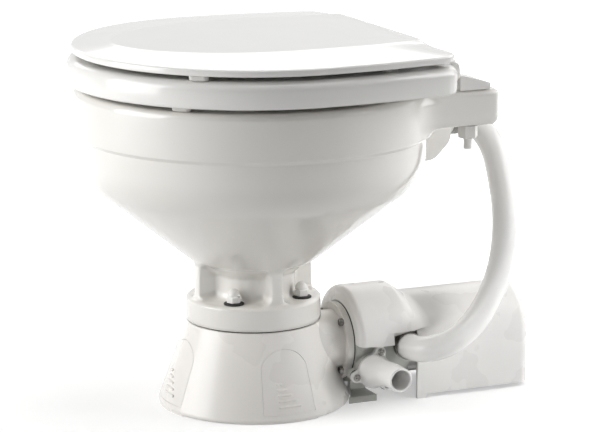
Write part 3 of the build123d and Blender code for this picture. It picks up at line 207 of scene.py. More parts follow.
# %% China, enamel and plastics
slot_finish = {
    # A deep wet gloss on warm white, with long reflections that bend slightly.
    "white_china": finish(
        "vitreous_china_glazed", "E8E6E1", "E3E0DB", 90, (0.05, 0.09), 24, 0.05,
        {"Coat Weight": 0.3, "Coat Roughness": 0.03, "IOR": 1.52}),
    # Whiter than the glaze, and its reflections are softer.
    "seat_enamel": finish(
        "moulded_seat_enamelled", "EEEDEA", "EAE9E6", 120, (0.12, 0.18), 9, 0.012,
        {"Coat Weight": 0.3, "Coat Roughness": 0.08, "IOR": 1.49}),
    # Satin, with wide and calm highlights.
    "base_plastic": finish(
        "polypropylene_moulded_satin", "F0EDE9", "EBE8E3", 60, (0.24, 0.32), 1.6, 0.010,
        {"IOR": 1.49, "Coat Weight": 0.15, "Coat Roughness": 0.15}),
    # Slightly waxy on small round parts.
    "hinge_plastic": finish(
        "nylon_moulded_white", "EDEBE8", "E8E6E3", 30, (0.22, 0.30), 1.4, 0.008, {"IOR": 1.53}),
    # Painted shade: greyer than the plastic's own white, for the shade that the bowl and the base
    # cast on the pump. Dry, because glass fibres reach the surface.
    "housing_plastic": finish(
        "glass_filled_nylon_painted_shade", "BDBEB9", "B4B5B0", 40, (0.32, 0.42), 1.5, 0.02,
        {"IOR": 1.53}),
    # Dense and bright, with a tight sheen.
    "port_plastic": finish(
        "acetal_moulded_white", "F4F3F1", "F0EFED", 30, (0.20, 0.28), 1.6, 0.008, {"IOR": 1.48}),
    # An even satin skin over a large plain form.
    "cover_plastic": finish(
        "abs_moulded_white", "F1EFED", "EDEBE8", 70, (0.24, 0.32), 1.5, 0.010, {"IOR": 1.53}),
    # Milky, because a little light goes in and comes out again.
    "hose_vinyl": finish(
        "vinyl_extruded_white", "F7F6F4", "F3F2F0", 40, (0.20, 0.28), 6, 0.02,
        {"IOR": 1.53, "Subsurface Weight": 0.15, "Subsurface Radius": (0.004, 0.004, 0.004)}),
}
print(len(slot_finish), "finishes so far")

# %% [markdown]
# Rubber is matt and dark from carbon black, or white with chalk. Stainless steel is turned or
# rolled and bright. The motor's parts are inside the cover, but they show where it opens and in a
# cut-away.

# %% Rubber, metals and the motor's parts
slot_finish |= {
    # Matt and nearly black, so that a washer reads as a dark line.
    "dark_rubber": finish(
        "nitrile_rubber_moulded", "2A2A2A", "232323", 12, (0.55, 0.7), 0.9, 0.02, {"IOR": 1.52}),
    # Chalky, a little greyer than the paint that it rests on.
    "white_rubber": finish(
        "white_rubber_moulded", "DAD8D4", "D2D0CC", 12, (0.45, 0.6), 1.0, 0.015, {"IOR": 1.52}),
    # Bright, with a glint that the turning marks spread.
    "stainless_steel": finish(
        "stainless_steel_turned", "9A9894", "85837F", 5, (0.22, 0.34), 0.7, 0.01,
        {"Metallic": 1.0}),
    # Paint with a slight orange peel.
    "motor_paint": finish(
        "steel_enamelled_white", "DCDBD8", "D5D4D1", 25, (0.20, 0.30), 2.2, 0.02,
        {"IOR": 1.5, "Coat Weight": 0.3, "Coat Roughness": 0.1}),
    # Dark bare sheet edges.
    "lamination_steel": finish(
        "silicon_steel_stamped", "5D5D5F", "4E4E50", 4, (0.35, 0.5), 0.6, 0.02, {"Metallic": 1.0}),
    # Charcoal grey and dusty, like a fine stone.
    "ferrite": finish(
        "ferrite_sintered", "2C2C2E", "242426", 8, (0.5, 0.65), 0.8, 0.03, {"IOR": 2.0}),
    # Warm red metal, dulled where the brushes run.
    "commutator_brass": finish(
        "commutator_copper_turned", "B87347", "A8653D", 4, (0.25, 0.4), 0.6, 0.01,
        {"Metallic": 1.0}),
    # Black with a faint graphite shine.
    "carbon": finish(
        "carbon_pressed", "1C1C1D", "151516", 6, (0.45, 0.6), 0.5, 0.02, {"IOR": 1.7}),
}
print(len(slot_finish), "finishes in all")

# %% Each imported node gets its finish
for row in frame["record"]["subparts"]:
    materials = nodes[row["node"]].data.materials
    materials.clear()
    materials.append(slot_finish[row["material_slot"]])
hose.data.materials.append(slot_finish["hose_vinyl"])
print(len(slot_finish), "finishes on", len(nodes), "nodes")

# %% [markdown]
# ## The bowl
# The bowl is vitreous china: slip poured in a plaster mould, so every inside corner is filled out
# and every outside one is soft. Its form follows a rule. It is one turned profile, joined to a flat
# shelf for the hinges and a boss for the rinse water, with four pockets cut in its foot. Each of
# those is written as a distance, the distances are blended as wet clay would be, and rays from the
# bowl's axis find where the blend is zero. A grid of rays gives even strips for long reflections.

# %% Bowl: its turned outline
def rounded_line(corners, steps=8):
    """A line through (x, y, radius) corners, each rounded by an arc of its radius."""
    points = []
    for k, (x, y, radius) in enumerate(corners):
        here = Vector((x, y))
        if radius == 0 or k in (0, len(corners) - 1):
            points.append(here)
            continue
        back = (Vector(corners[k - 1][:2]) - here).normalized()
        on = (Vector(corners[k + 1][:2]) - here).normalized()
        half_angle = back.angle(on) / 2
        start = here + back * radius / math.tan(half_angle)
        centre = here + (back + on).normalized() * radius / math.sin(half_angle)
        first = math.atan2(*(start - centre).yx)
        sweep = math.pi - 2 * half_angle
        if back.x * on.y - back.y * on.x > 0:
            sweep = -sweep
        for step in range(steps + 1):
            angle = first + sweep * step / steps
            points.append(centre + radius * Vector((math.cos(angle), math.sin(angle))))
    return points


BOWL_OUTLINE = rounded_line([
    (63.5, 81.5, 0), (63.5, 101.5, 1.5), (61.0, 104.0, 1.0), (58.6, 104.02, 2.0),
    (58.0, 138.0, 9.0), (160.5, 218.0, 48.0), (163.0, 258.0, 0.3), (166.5, 261.5, 0.6),
    (166.5, 304.0, 6.0), (134.0, 304.02, 0),
], 14)
BOWL_INSIDE = rounded_line([
    (134.0, 304.0, 0), (128.0, 304.0, 5.9), (128.0, 270.0, 3.0), (146.0, 270.0, 6.0),
    (146.0, 228.5, 48.0), (34.0, 133.5, 12.0), (28.0, 128.0, 3.0), (28.0, 81.5, 0),
], 9)
outline_z = np.array([p.y for p in BOWL_OUTLINE])
outline_r = np.array([p.x for p in BOWL_OUTLINE])
outline_slope = np.gradient(outline_r, outline_z + np.arange(len(outline_z)) * 1e-6)
outline_lean = 1 / np.sqrt(1 + np.clip(outline_slope, -3, 3) ** 2)
print("bowl outline of", len(BOWL_OUTLINE), "points, inside of", len(BOWL_INSIDE))


# %% Bowl: blends and blocks, in millimetres
def join_softly(a, b, reach):
    """The nearer of two distances, blended over the reach, so that a corner is filled out."""
    share = np.clip(0.5 + 0.5 * (b - a) / reach, 0, 1)
    return b + (a - b) * share - reach * share * (1 - share)


def cut_softly(a, b, reach):
    """What is in a and not in b, with its edge rounded over the reach."""
    return -join_softly(-a, b, reach)


def soft_block(x, y, z, middle, half, corner, edge):
    """Distance to a block with upright corners and edges of the two radii."""
    across = np.maximum(np.abs(x - middle[0]) - half[0] + corner, 0)
    along = np.maximum(np.abs(y - middle[1]) - half[1] + corner, 0)
    inner = np.minimum(np.maximum(np.abs(x - middle[0]) - half[0], np.abs(y - middle[1]) - half[1])
                       + corner, 0)
    plan = np.hypot(across, along) + inner - corner + edge
    level = np.abs(z - middle[2]) - half[2] + edge
    return (np.hypot(np.maximum(plan, 0), np.maximum(level, 0))
            + np.minimum(np.maximum(plan, level), 0) - edge)


print("a blend over 1 mm fills a shared corner by", -join_softly(0.0, 0.0, 1.0), "mm")

# %% Bowl: the distance to the china
# Sizes in millimetres. A pocket's spread is the sine of the angle from its middle to its side.
POCKET_SPREAD, POCKET_BACK, POCKET_FLARE_Z, POCKET_FLARE = 0.62, 39.5, 126, 1.1
POCKET_MIDDLE_Z, POCKET_HALF_HEIGHT = 121.5, 17.5
SHELF_MIDDLE, SHELF_HALF, SHELF_CORNER, SHELF_EDGE = (0, 120, 286.25), (112, 82, 17.25), 7.5, 7.0
BOSS_MIDDLE, BOSS_HALF, BOSS_CORNER = (0, 140, 251), (19, 59, 31.5), 3.5
BOSS_REAR_Y, BOSS_LOW_Z = 199, 235
POCKET_BACK_BLEND, POCKET_END_BLEND, FOOT_BLEND, CHAMFER_BLEND = 6.0, 8.0, 3.0, 7.0
# The shelf and the boss blend into the bowl over these reaches, which fade out towards the rim.
SHELF_BLEND, BOSS_BLEND, RIM_Z, RIM_FADE = 15.0, 9.0, 302.0, 9.0


def bowl_distance(x, y, z):
    """Blended distance to the china's outer skin."""
    radius = np.hypot(x, y)
    turned = radius - np.interp(z, outline_z, outline_r, right=0)
    turned = turned * np.interp(z, outline_z, outline_lean)
    quarter = np.arctan2(np.abs(y), np.abs(x)) - math.pi / 4
    side = radius * np.sin(quarter)
    pocket_side = (np.abs(side) - POCKET_SPREAD * radius) * 0.8
    pocket_back = POCKET_BACK + POCKET_FLARE * np.maximum(z - POCKET_FLARE_Z, 0)
    pocket = cut_softly(pocket_side, radius - pocket_back, POCKET_BACK_BLEND)
    pocket = cut_softly(pocket, POCKET_HALF_HEIGHT - np.abs(z - POCKET_MIDDLE_Z), POCKET_END_BLEND)
    foot = cut_softly(turned, pocket, FOOT_BLEND)
    shelf = soft_block(x, y, z, SHELF_MIDDLE, SHELF_HALF, SHELF_CORNER, SHELF_EDGE)
    chamfer = ((y - BOSS_REAR_Y) + (BOSS_LOW_Z - z)) * 0.707 + 1.0
    boss = soft_block(x, y, z, BOSS_MIDDLE, BOSS_HALF, BOSS_CORNER, BOSS_CORNER)
    boss = cut_softly(boss, -chamfer, CHAMFER_BLEND)
    below_rim = np.clip((RIM_Z - z) / RIM_FADE, 0.02, 1)
    body = join_softly(foot, shelf, SHELF_BLEND * below_rim)
    return join_softly(body, boss, BOSS_BLEND * below_rim)


print("the shelf and the rear boss join the turned bowl below", RIM_Z, "mm")

# %% Bowl: the rays
def spread(*stretches):
    """Numbers along several stretches, each (start, end, count), with no number twice."""
    numbers = [stretches[0][0]]
    for start, end, count in stretches:
        numbers += [start + (end - start) * (k + 1) / count for k in range(count)]
    return numbers


RAY_START, RAY_STEP, RAY_STEPS, HALVINGS = 30.0, 2.0, 112, 12
LEVEL_TOP, FAN_Z, FAN_DROP, FAN_RUN = 228, 285, 35, 162

columns = np.radians(spread((0, 38, 34), (38, 76, 64), (76, 104, 72), (104, 142, 64),
                            (142, 360, 185))[:-1])
# A ray is (its height on the axis, its climb). They run level over the foot and fan out above it.
rays = [(z, 0.0) for z in spread((81.5, 99, 5), (99, 107, 14), (107, 128, 12), (128, 146, 20),
                                 (146, 156, 5), (156, 206, 15), (206, LEVEL_TOP, 14))]
rays += [(LEVEL_TOP + (FAN_Z - LEVEL_TOP) * t, -FAN_DROP * t / FAN_RUN)
         for t in spread((0, 1, 9))[1:]]
rays += [(FAN_Z, math.tan(math.radians(a))) for a in spread(
    (-12.2, -9.8, 5), (-9.8, -9.1, 6), (-9.1, -8.35, 3), (-8.35, -7.7, 6), (-7.7, -6.4, 4),
    (-6.4, -3.6, 26), (-3.6, 2.6, 9), (2.6, 6.9, 20), (6.9, 8.07, 6))[1:]]
start_z, climb = np.array(rays).T[:, :, None]
cos_column, sin_column = np.cos(columns), np.sin(columns)


def outside(reach):
    """True where the rays at that reach are outside the china."""
    return bowl_distance(reach * cos_column, reach * sin_column, start_z + climb * reach) > 0


far = np.full((len(rays), len(columns)), RAY_START)
found = np.zeros(far.shape, bool)
for step in range(RAY_STEPS):
    far = np.where(found, far, far + RAY_STEP)
    found |= outside(far)
near = far - RAY_STEP
for step in range(HALVINGS):
    middle = (near + far) / 2
    out_now = outside(middle)
    near, far = np.where(out_now, near, middle), np.where(out_now, middle, far)
skin_reach = (near + far) / 2
print("rays", skin_reach.shape, "all met the skin", bool(found.all()))

# %% Bowl: the mesh
rings = [[(r * c, r * s, z0 + k * r) for r, c, s in zip(reaches, cos_column, sin_column)]
         for reaches, (z0, k) in zip(skin_reach, rays)]
rings += [[(p.x * c, p.x * s, p.y) for c, s in zip(cos_column, sin_column)]
          for p in BOWL_INSIDE[1:]]


def ringed_mesh(name, rings, closed=True):
    """A mesh of quads between rings of points in millimetres, the last joined to the first."""
    count = len(rings[0])
    points = [tuple(v * MM for v in p) for ring in rings for p in ring]
    faces = []
    for i in range(len(rings) if closed else len(rings) - 1):
        a, b = i * count, (i + 1) % len(rings) * count
        for j in range(count):
            k = (j + 1) % count
            faces.append((a + j, a + k, b + k, b + j))
    mesh = bpy.data.meshes.new(name)
    mesh.from_pydata(points, [], faces)
    mesh.polygons.foreach_set("use_smooth", [True] * len(faces))
    work = bmesh.new()
    work.from_mesh(mesh)
    bmesh.ops.recalc_face_normals(work, faces=work.faces)
    if work.calc_volume(signed=True) < 0:
        bmesh.ops.reverse_faces(work, faces=work.faces)
    work.to_mesh(mesh)
    work.free()
    return mesh


def place_piece(name, mesh, body, slot, *replaced):
    """Shows a mesh as a piece in its slot's finish, riding on a body, for the replaced nodes."""
    piece = bpy.data.objects.new(name, mesh)
    scene.collection.objects.link(piece)
    mesh.materials.clear()
    mesh.materials.append(slot_finish[slot])
    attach(piece, body)
    if replaced:
        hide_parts(*replaced)
    print(name, "has", sum(len(p.vertices) - 2 for p in mesh.polygons), "triangles")


place_piece("china_bowl", ringed_mesh("china_bowl", rings), "root", "white_china", "bowl")

# %% [markdown]
# ## The seat and the lid
# Both are pressed from one shape of outline: half an oval in front, sides that draw in a little and
# a straight rear with round corners. The seat's section is a fat rounded bar. The lid is a thin
# shell whose bevel rises from the rim to a flat middle. Rings of points are laid from one outline
# to the next, with heights that follow each section, so edges roll over instead of breaking.

# %% Outlines seen from above
def plan_outline(half_width, front, rear, side_reach, corner):
    """How far a seat's or lid's outline lies from its middle, for each of the plan's columns."""
    def side_x(y):
        return half_width * math.sqrt(1 - (y / side_reach) ** 2)
    sides = [(side_x(y), y, 0) for y in np.linspace(0, rear - corner, 14)[1:]]
    back = [(x, rear, 0) for x in np.linspace(side_x(rear) - 1.5 * corner, 0, 60)]
    right = rounded_line([(half_width, 0, 0)] + sides + [(side_x(rear), rear, corner)] + back, 20)
    oval = [(half_width * math.cos(a), front * math.sin(a))
            for a in np.linspace(-math.pi / 2, 0, 90)]
    half = [Vector(p) for p in oval] + right[1:]
    angles = np.array([math.atan2(p.y, p.x) for p in half])
    reaches = np.array([p.length for p in half])
    from_front = (plan_columns + 1.5 * math.pi) % (2 * math.pi) - math.pi
    turned_to = np.abs(from_front) - math.pi / 2
    return np.interp(turned_to, angles, reaches)


def plan_ring(reach, z):
    """A ring of points in millimetres at the reach of each column, at one height."""
    return [(r * math.cos(turn), r * math.sin(turn), z) for r, turn in zip(reach, plan_columns)]


plan_columns = np.radians(spread((0, 30, 30), (30, 60, 80), (60, 120, 60), (120, 150, 80),
                                 (150, 360, 160))[:-1])


def round_corner(steps, radius):
    """How far in and how far up each step of a quarter round lies from its start on the side."""
    return [(radius * (1 - math.cos(a)), radius * math.sin(a))
            for a in np.linspace(0, math.pi / 2, steps)]


LUG_EDGE, LUG_SHARP_DEGREES = 0.8, 35


def lug(points, name, side, start_x, width, circles):
    """Hinge lug with round edges: the hull of discs in millimetres, each (y, z, radius)."""
    work = bmesh.new()
    rounding = ((0, LUG_EDGE), (LUG_EDGE * 0.3, LUG_EDGE * 0.3), (LUG_EDGE, 0))
    for x, inset in rounding + tuple((width - x, inset) for x, inset in rounding[::-1]):
        for y, z, radius in circles:
            for k in range(points):
                turn = 2 * math.pi * k / points
                work.verts.new(Vector((side * (start_x + x), y + (radius - inset) * math.cos(turn),
                                       z + (radius - inset) * math.sin(turn))) * MM)
    bmesh.ops.convex_hull(work, input=work.verts)
    loose = [v for v in work.verts if not v.link_faces]
    bmesh.ops.delete(work, geom=loose, context="VERTS")
    bmesh.ops.recalc_face_normals(work, faces=work.faces)
    mesh = bpy.data.meshes.new(name)
    work.to_mesh(mesh)
    work.free()
    mesh.polygons.foreach_set("use_smooth", [True] * len(mesh.polygons))
    mesh.set_sharp_from_angle(angle=math.radians(LUG_SHARP_DEGREES))
    return mesh


def joined(name, meshes):
    """One mesh of several."""
    work = bmesh.new()
    for mesh in meshes:
        work.from_mesh(mesh)
    whole = bpy.data.meshes.new(name)
    work.to_mesh(whole)
    work.free()
    return whole


print(len(plan_columns), "columns round the plan")

# %% Seat
SEAT_BOTTOM, SEAT_TOP = 309.0, 333.5
SEAT_TOP_ROUND, SEAT_BOTTOM_ROUND = 9.0, 3.0
OPENING_X, OPENING_FRONT, OPENING_REAR = 106.0, 118.0, 96.0
KNUCKLE = (151.0, 329.0, 5.2)
LUG_POINTS = 28

seat_out = plan_outline(171.9, 172.9, 142.0, 320.0, 26.0)
opening_y = np.where(np.sin(plan_columns) < 0, OPENING_FRONT, OPENING_REAR)
seat_in = 1 / np.hypot(np.cos(plan_columns) / OPENING_X, np.sin(plan_columns) / opening_y)
section_up = [(inset, SEAT_BOTTOM + SEAT_BOTTOM_ROUND - down)
              for inset, down in round_corner(5, SEAT_BOTTOM_ROUND)[::-1]]
section_up += [(inset, SEAT_TOP - SEAT_TOP_ROUND + up)
               for inset, up in round_corner(9, SEAT_TOP_ROUND)]
seat_rings = [plan_ring(seat_out - inset, z) for inset, z in section_up]
seat_rings += [plan_ring(seat_in + inset, z) for inset, z in section_up[::-1]]
seat_lugs = [lug(LUG_POINTS, "seat_lug", side, 78.3, 13.6, [KNUCKLE, (136.8, 319.3, 2.6)])
             for side in (-1, 1)]
place_piece("seat_ring", joined("seat_ring", [ringed_mesh("seat", seat_rings), *seat_lugs]),
            "seat", "seat_enamel", "seat")

# %% Lid
LID_BOTTOM, LID_TOP, LID_SKIRT = 338.0, 350.0, 6.5
LID_EDGE, LID_LOWER_EDGE = 2.2, 1.2
LID_RIM, LID_RECESS, LID_INNER_EDGE = 9.0, 3.5, 0.8
BEVEL_BULGE, ROLL_START, ROLL_DROP, ROLL_LENGTH = 0.12, 0.92, 0.042, 0.11
BEVEL_SHARES = (0.03, 0.08, 0.16, 0.28, 0.42, 0.56, 0.7, 0.82, 0.9, 0.94, 0.97, 1.0, 1.03)

lid_out = plan_outline(170.0, 168.0, 138.0, 320.0, 22.0)
lid_flat = plan_outline(97.5, 134.0, 131.0, 380.0, 9.0)
recess_z = LID_BOTTOM + LID_RECESS
lid_rings = [plan_ring((lid_out - LID_RIM) * share, recess_z) for share in (0.08, 0.5, 0.9, 0.99)]
lid_rings += [plan_ring(lid_out - LID_RIM, recess_z - LID_INNER_EDGE),
              plan_ring(lid_out - LID_RIM, LID_BOTTOM + LID_INNER_EDGE),
              plan_ring(lid_out - LID_RIM + LID_INNER_EDGE, LID_BOTTOM)]
lid_rings += [plan_ring(lid_out - inset, LID_BOTTOM + LID_LOWER_EDGE - down)
              for inset, down in round_corner(5, LID_LOWER_EDGE)[::-1]]
shoulder_z = LID_BOTTOM + LID_SKIRT - LID_EDGE
lid_rings += [plan_ring(lid_out - inset, shoulder_z + up * 0.95)
              for inset, up in round_corner(7, LID_EDGE)]
shoulder_top = shoulder_z + LID_EDGE * 0.95
for share in BEVEL_SHARES:
    # The bevel bulges a little and then rolls over into the flat middle.
    climbed = (1 + BEVEL_BULGE) * share - BEVEL_BULGE * share ** 2
    if share >= ROLL_START:
        climbed = 1 - ROLL_DROP * ((BEVEL_SHARES[-1] - share) / ROLL_LENGTH) ** 1.5
    lid_rings.append(plan_ring((lid_out - LID_EDGE) * (1 - share) + lid_flat * share,
                               shoulder_top + (LID_TOP - shoulder_top) * climbed))
lid_rings += [plan_ring(lid_flat * share, LID_TOP) for share in (0.7, 0.35, 0.08)]


def capped_mesh(name, rings):
    """Rings joined in their order, with a middle point that closes each end."""
    mesh = ringed_mesh(name, rings, closed=False)
    work = bmesh.new()
    work.from_mesh(mesh)
    work.verts.ensure_lookup_table()
    count = len(rings[0])
    for first, ring in ((0, rings[0]), (len(work.verts) - count, rings[-1])):
        middle = work.verts.new(Vector(np.mean(ring, axis=0)) * MM)
        work.verts.ensure_lookup_table()
        for k in range(count):
            edge = work.verts[first + k], work.verts[first + (k + 1) % count]
            work.faces.new((*edge, middle)).smooth = True
    bmesh.ops.recalc_face_normals(work, faces=work.faces)
    work.to_mesh(mesh)
    work.free()
    return mesh


lid_lugs = [lug(LUG_POINTS, "lid_lug", side, 92.2, 17.6, [KNUCKLE, (136.0, 340.4, 2.4)])
            for side in (-1, 1)]
place_piece("lid_shell", joined("lid_shell", [capped_mesh("lid", lid_rings), *lid_lugs]),
            "lid", "seat_enamel", "lid")

# %% [markdown]
# ## Small parts that repeat
# Cap nuts, screws, washers, pads, ribs and clips are each one shape many times over. Geometry Nodes
# keep each as a rule with named sizes: the shape is grown once, put on points, made real and given
# its material. Each result is then kept as a plain mesh, so the model needs no modifier.

# %% Helpers for node trees that make shapes
MERGE_DISTANCE = 0.01 * MM


def new_shape_tree(name, inputs):
    """An empty tree with a named input for each size, and the numbers that it knows by name."""
    tree = bpy.data.node_groups.new(name, "GeometryNodeTree")
    tree.interface.new_socket("Geometry", in_out="OUTPUT", socket_type="NodeSocketGeometry")
    kinds = {int: "NodeSocketInt", float: "NodeSocketFloat", tuple: "NodeSocketVector"}
    for input_name, value in inputs.items():
        size = tree.interface.new_socket(input_name, in_out="INPUT", socket_type=kinds.get(
            type(value), "NodeSocketMaterial"))
        size.default_value = value
    known = {size.name: size for size in tree.nodes.new("NodeGroupInput").outputs}
    known["Number"] = made(tree, "GeometryNodeInputIndex")
    return tree, known


def work_out(tree, known, *rows):
    """Adds known numbers, one for each row of a name, an operation and the two that it takes."""
    for name, operation, first, second in rows:
        known[name] = made(tree, "ShaderNodeMath",
                           {0: known.get(first, first), 1: known.get(second, second)},
                           operation=operation)


def join_shapes(tree, *shapes):
    """Several geometries as one."""
    node = tree.nodes.new("GeometryNodeJoinGeometry")
    for shape in shapes:
        tree.links.new(shape, node.inputs[0])
    return node.outputs[0]


def stacked(tree, sides, radius, steps):
    """A turned or many-sided shape, raised from a polygon by steps of (rise, widening)."""
    flat = made(tree, "GeometryNodeMeshCircle", {"Vertices": sides, "Radius": radius},
                fill_type="NGON")
    under = made(tree, "GeometryNodeFlipFaces", {"Mesh": flat})
    shape, top = flat, None
    for rise, widening in steps:
        lifted = add_node(tree, "GeometryNodeExtrudeMesh", {"mode": "FACES"},
                          {"Mesh": shape, "Offset Scale": rise, "Individual": False})
        if top is not None:
            tree.links.new(top, lifted.inputs["Selection"])
        shape, top = lifted.outputs["Mesh"], lifted.outputs["Top"]
        if widening != 1.0:
            shape = made(tree, "GeometryNodeScaleElements",
                         {"Geometry": shape, "Selection": top, "Scale": widening}, domain="FACE")
    return made(tree, "GeometryNodeMergeByDistance",
                {0: join_shapes(tree, shape, under), "Distance": MERGE_DISTANCE})


def round_the_axis(tree, shape, count, turn, reach):
    """Copies of a shape, each turned about the z axis and then moved out by its reach."""
    points = made(tree, "GeometryNodeMeshLine", {"Count": count, "Offset": (0.0, 0.0, 0.0)})
    turned = made(tree, "GeometryNodeInstanceOnPoints",
                  {"Points": points, "Instance": shape, "Rotation": (0.0, 0.0, turn)})
    return made(tree, "GeometryNodeTranslateInstances",
                {0: turned, "Translation": (reach, 0.0, 0.0)})


def finish_tree(tree, shape, known, sharp_degrees=40):
    """Makes copies real, keeps edges over an angle sharp, sets the material and the output."""
    real = made(tree, "GeometryNodeRealizeInstances", {0: shape})
    angle = made(tree, "GeometryNodeInputMeshEdgeAngle", output="Unsigned Angle")
    soft = made(tree, "FunctionNodeCompare", {0: angle, 1: math.radians(sharp_degrees)},
                operation="LESS_THAN")
    shaded = made(tree, "GeometryNodeSetShadeSmooth", {0: real, "Shade Smooth": soft},
                  domain="EDGE")
    coated = made(tree, "GeometryNodeSetMaterial", {0: shaded, "Material": known["Finish"]})
    tree.links.new(coated, tree.nodes.new("NodeGroupOutput").inputs[0])
    print(tree.name, "has", len(tree.nodes), "nodes")


def grow(name, tree, slot, values):
    """The plain mesh that a tree makes with its slot's finish and the given values."""
    values = {"Finish": slot_finish[slot], **values}
    holder = bpy.data.objects.new(name, bpy.data.meshes.new(name))
    scene.collection.objects.link(holder)
    modifier = holder.modifiers.new(name, "NODES")
    modifier.node_group = tree
    for socket in tree.interface.items_tree:
        if socket.in_out == "INPUT" and socket.name in values:
            modifier[socket.identifier] = values[socket.name]
    evaluated = holder.evaluated_get(bpy.context.evaluated_depsgraph_get())
    mesh = bpy.data.meshes.new_from_object(evaluated)
    mesh.name = name
    bpy.data.objects.remove(holder)
    return mesh


print("points within", MERGE_DISTANCE, "m are merged")

# %% [markdown]
# The first tree makes anything that is screwed on in a circle: a many-sided or round body with a
# worn-down rim, a domed cap and, on screws, a cross for the driver. Each copy is turned a little by
# chance, as a hand would leave it. Two count as a circle too.

# %% Tree: fasteners on a circle
DOME_STEP, DOME_END = 12, 84

tree, sizes = new_shape_tree("fasteners_on_a_circle", {
    "Sides": 6, "Radius": 7 * MM, "Height": 6 * MM, "Rim": 0.8 * MM, "Cap Radius": 6 * MM,
    "Cap Height": 7 * MM, "Cross Length": 0.0, "Cross Width": 1.3 * MM, "Cross Depth": 3 * MM,
    "Circle Radius": 48.5 * MM, "Count": 4, "First Angle": math.radians(45),
    "Place": (0.0, 0.0, 0.0), "Turn": (0.0, 0.0, 0.0), "Finish": slot_finish["stainless_steel"]})
work_out(tree, sizes,
         ("Straight", "SUBTRACT", "Height", "Rim"), ("Low Rim", "MULTIPLY", "Rim", 0.6),
         ("High Rim", "MULTIPLY", "Rim", 0.4), ("Whole Height", "ADD", "Height", "Cap Height"),
         ("Step", "DIVIDE", 2 * math.pi, "Count"), ("Turned", "MULTIPLY", "Number", "Step"),
         ("Angle", "ADD", "First Angle", "Turned"))
body = stacked(tree, sizes["Sides"], sizes["Radius"],
               [(sizes["Straight"], 1.0), (sizes["Low Rim"], 0.96), (sizes["High Rim"], 0.92)])
cap_steps = []
for low in range(0, DOME_END, DOME_STEP):
    high = low + DOME_STEP
    rise_share = math.sin(math.radians(high)) - math.sin(math.radians(low))
    work_out(tree, sizes, ("Rise", "MULTIPLY", "Cap Height", rise_share))
    cap_steps.append((sizes["Rise"], math.cos(math.radians(high)) / math.cos(math.radians(low))))
cap = made(tree, "GeometryNodeTransform", {
    0: stacked(tree, 24, sizes["Cap Radius"], cap_steps),
    "Translation": (0.0, 0.0, sizes["Height"])})
body = made(tree, "GeometryNodeMeshBoolean", {1: join_shapes(tree, body, cap)},
            operation="UNION", solver="EXACT")
arms = [made(tree, "GeometryNodeMeshCube", {"Size": (sizes[x], sizes[y], sizes["Cross Depth"])})
        for x, y in (("Cross Length", "Cross Width"), ("Cross Width", "Cross Length"))]
cross = made(tree, "GeometryNodeTransform", {
    0: made(tree, "GeometryNodeMeshBoolean", {1: join_shapes(tree, *arms)}, operation="UNION"),
    "Translation": (0.0, 0.0, sizes["Whole Height"])})
cut = made(tree, "GeometryNodeMeshBoolean", {0: body, 1: cross}, operation="DIFFERENCE")
has_cross = made(tree, "FunctionNodeCompare", {0: sizes["Cross Length"], 1: 0.0},
                 operation="GREATER_THAN")
one = made(tree, "GeometryNodeSwitch", {"Switch": has_cross, "False": body, "True": cut},
           input_type="GEOMETRY")
circle = round_the_axis(tree, one, sizes["Count"], sizes["Angle"], sizes["Circle Radius"])
chance = made(tree, "FunctionNodeRandomValue", {2: 0.0, 3: 1.0, "Seed": 4}, output=1,
              data_type="FLOAT")
circle = made(tree, "GeometryNodeRotateInstances", {0: circle, "Rotation": (0.0, 0.0, chance)})
circle = made(tree, "GeometryNodeTransform",
              {0: circle, "Translation": sizes["Place"], "Rotation": sizes["Turn"]})
finish_tree(tree, circle, sizes, 34)

# %% Nuts, washers and screws
for name, replaced, slot, values in (
        ("bowl_cap_nuts", "bowl_bolt_nuts", "hinge_plastic", {"Place": (0.0, 0.0, 106 * MM)}),
        ("bowl_nut_washers", "bowl_bolt_washers", "dark_rubber", {
            "Sides": 32, "Radius": 9.5 * MM, "Height": 1.6 * MM, "Rim": 0.5 * MM,
            "Cap Radius": 7 * MM, "Cap Height": 0.3 * MM, "Place": (0.0, 0.0, 104 * MM)}),
        ("hinge_stud_nuts", "hinge_nuts", "hinge_plastic", {
            "Radius": 9.5 * MM, "Height": 12 * MM, "Rim": 1 * MM, "Cap Radius": 8 * MM,
            "Cap Height": 0.5 * MM, "Circle Radius": 92 * MM, "Count": 2, "First Angle": 0.0,
            "Place": (0.0, 178 * MM, 267.5 * MM), "Turn": (math.pi, 0.0, 0.0)}),
        ("port_cross_screws", "port_screws", "stainless_steel", {
            "Sides": 24, "Radius": 3.5 * MM, "Height": 1.2 * MM, "Rim": 0.4 * MM,
            "Cap Radius": 3.1 * MM, "Cap Height": 0.9 * MM, "Cross Length": 4.8 * MM,
            "Circle Radius": 19.3 * MM, "Count": 3, "First Angle": math.radians(162),
            "Place": (71 * MM, 94 * MM, 34 * MM), "Turn": (0.0, math.pi / 2, 0.0)})):
    place_piece(name, grow(name, tree, slot, values), "root", slot, replaced)

# %% [markdown]
# Each arched cover has five short ribs for a fingertip, the lowest the longest, lined up on one
# side. They climb the cone, so each next rib stands a little further in. The tree lays a line of
# points up the cone, puts a bar with round ends on each, shortens it by its number, and turns the
# set to every cover.

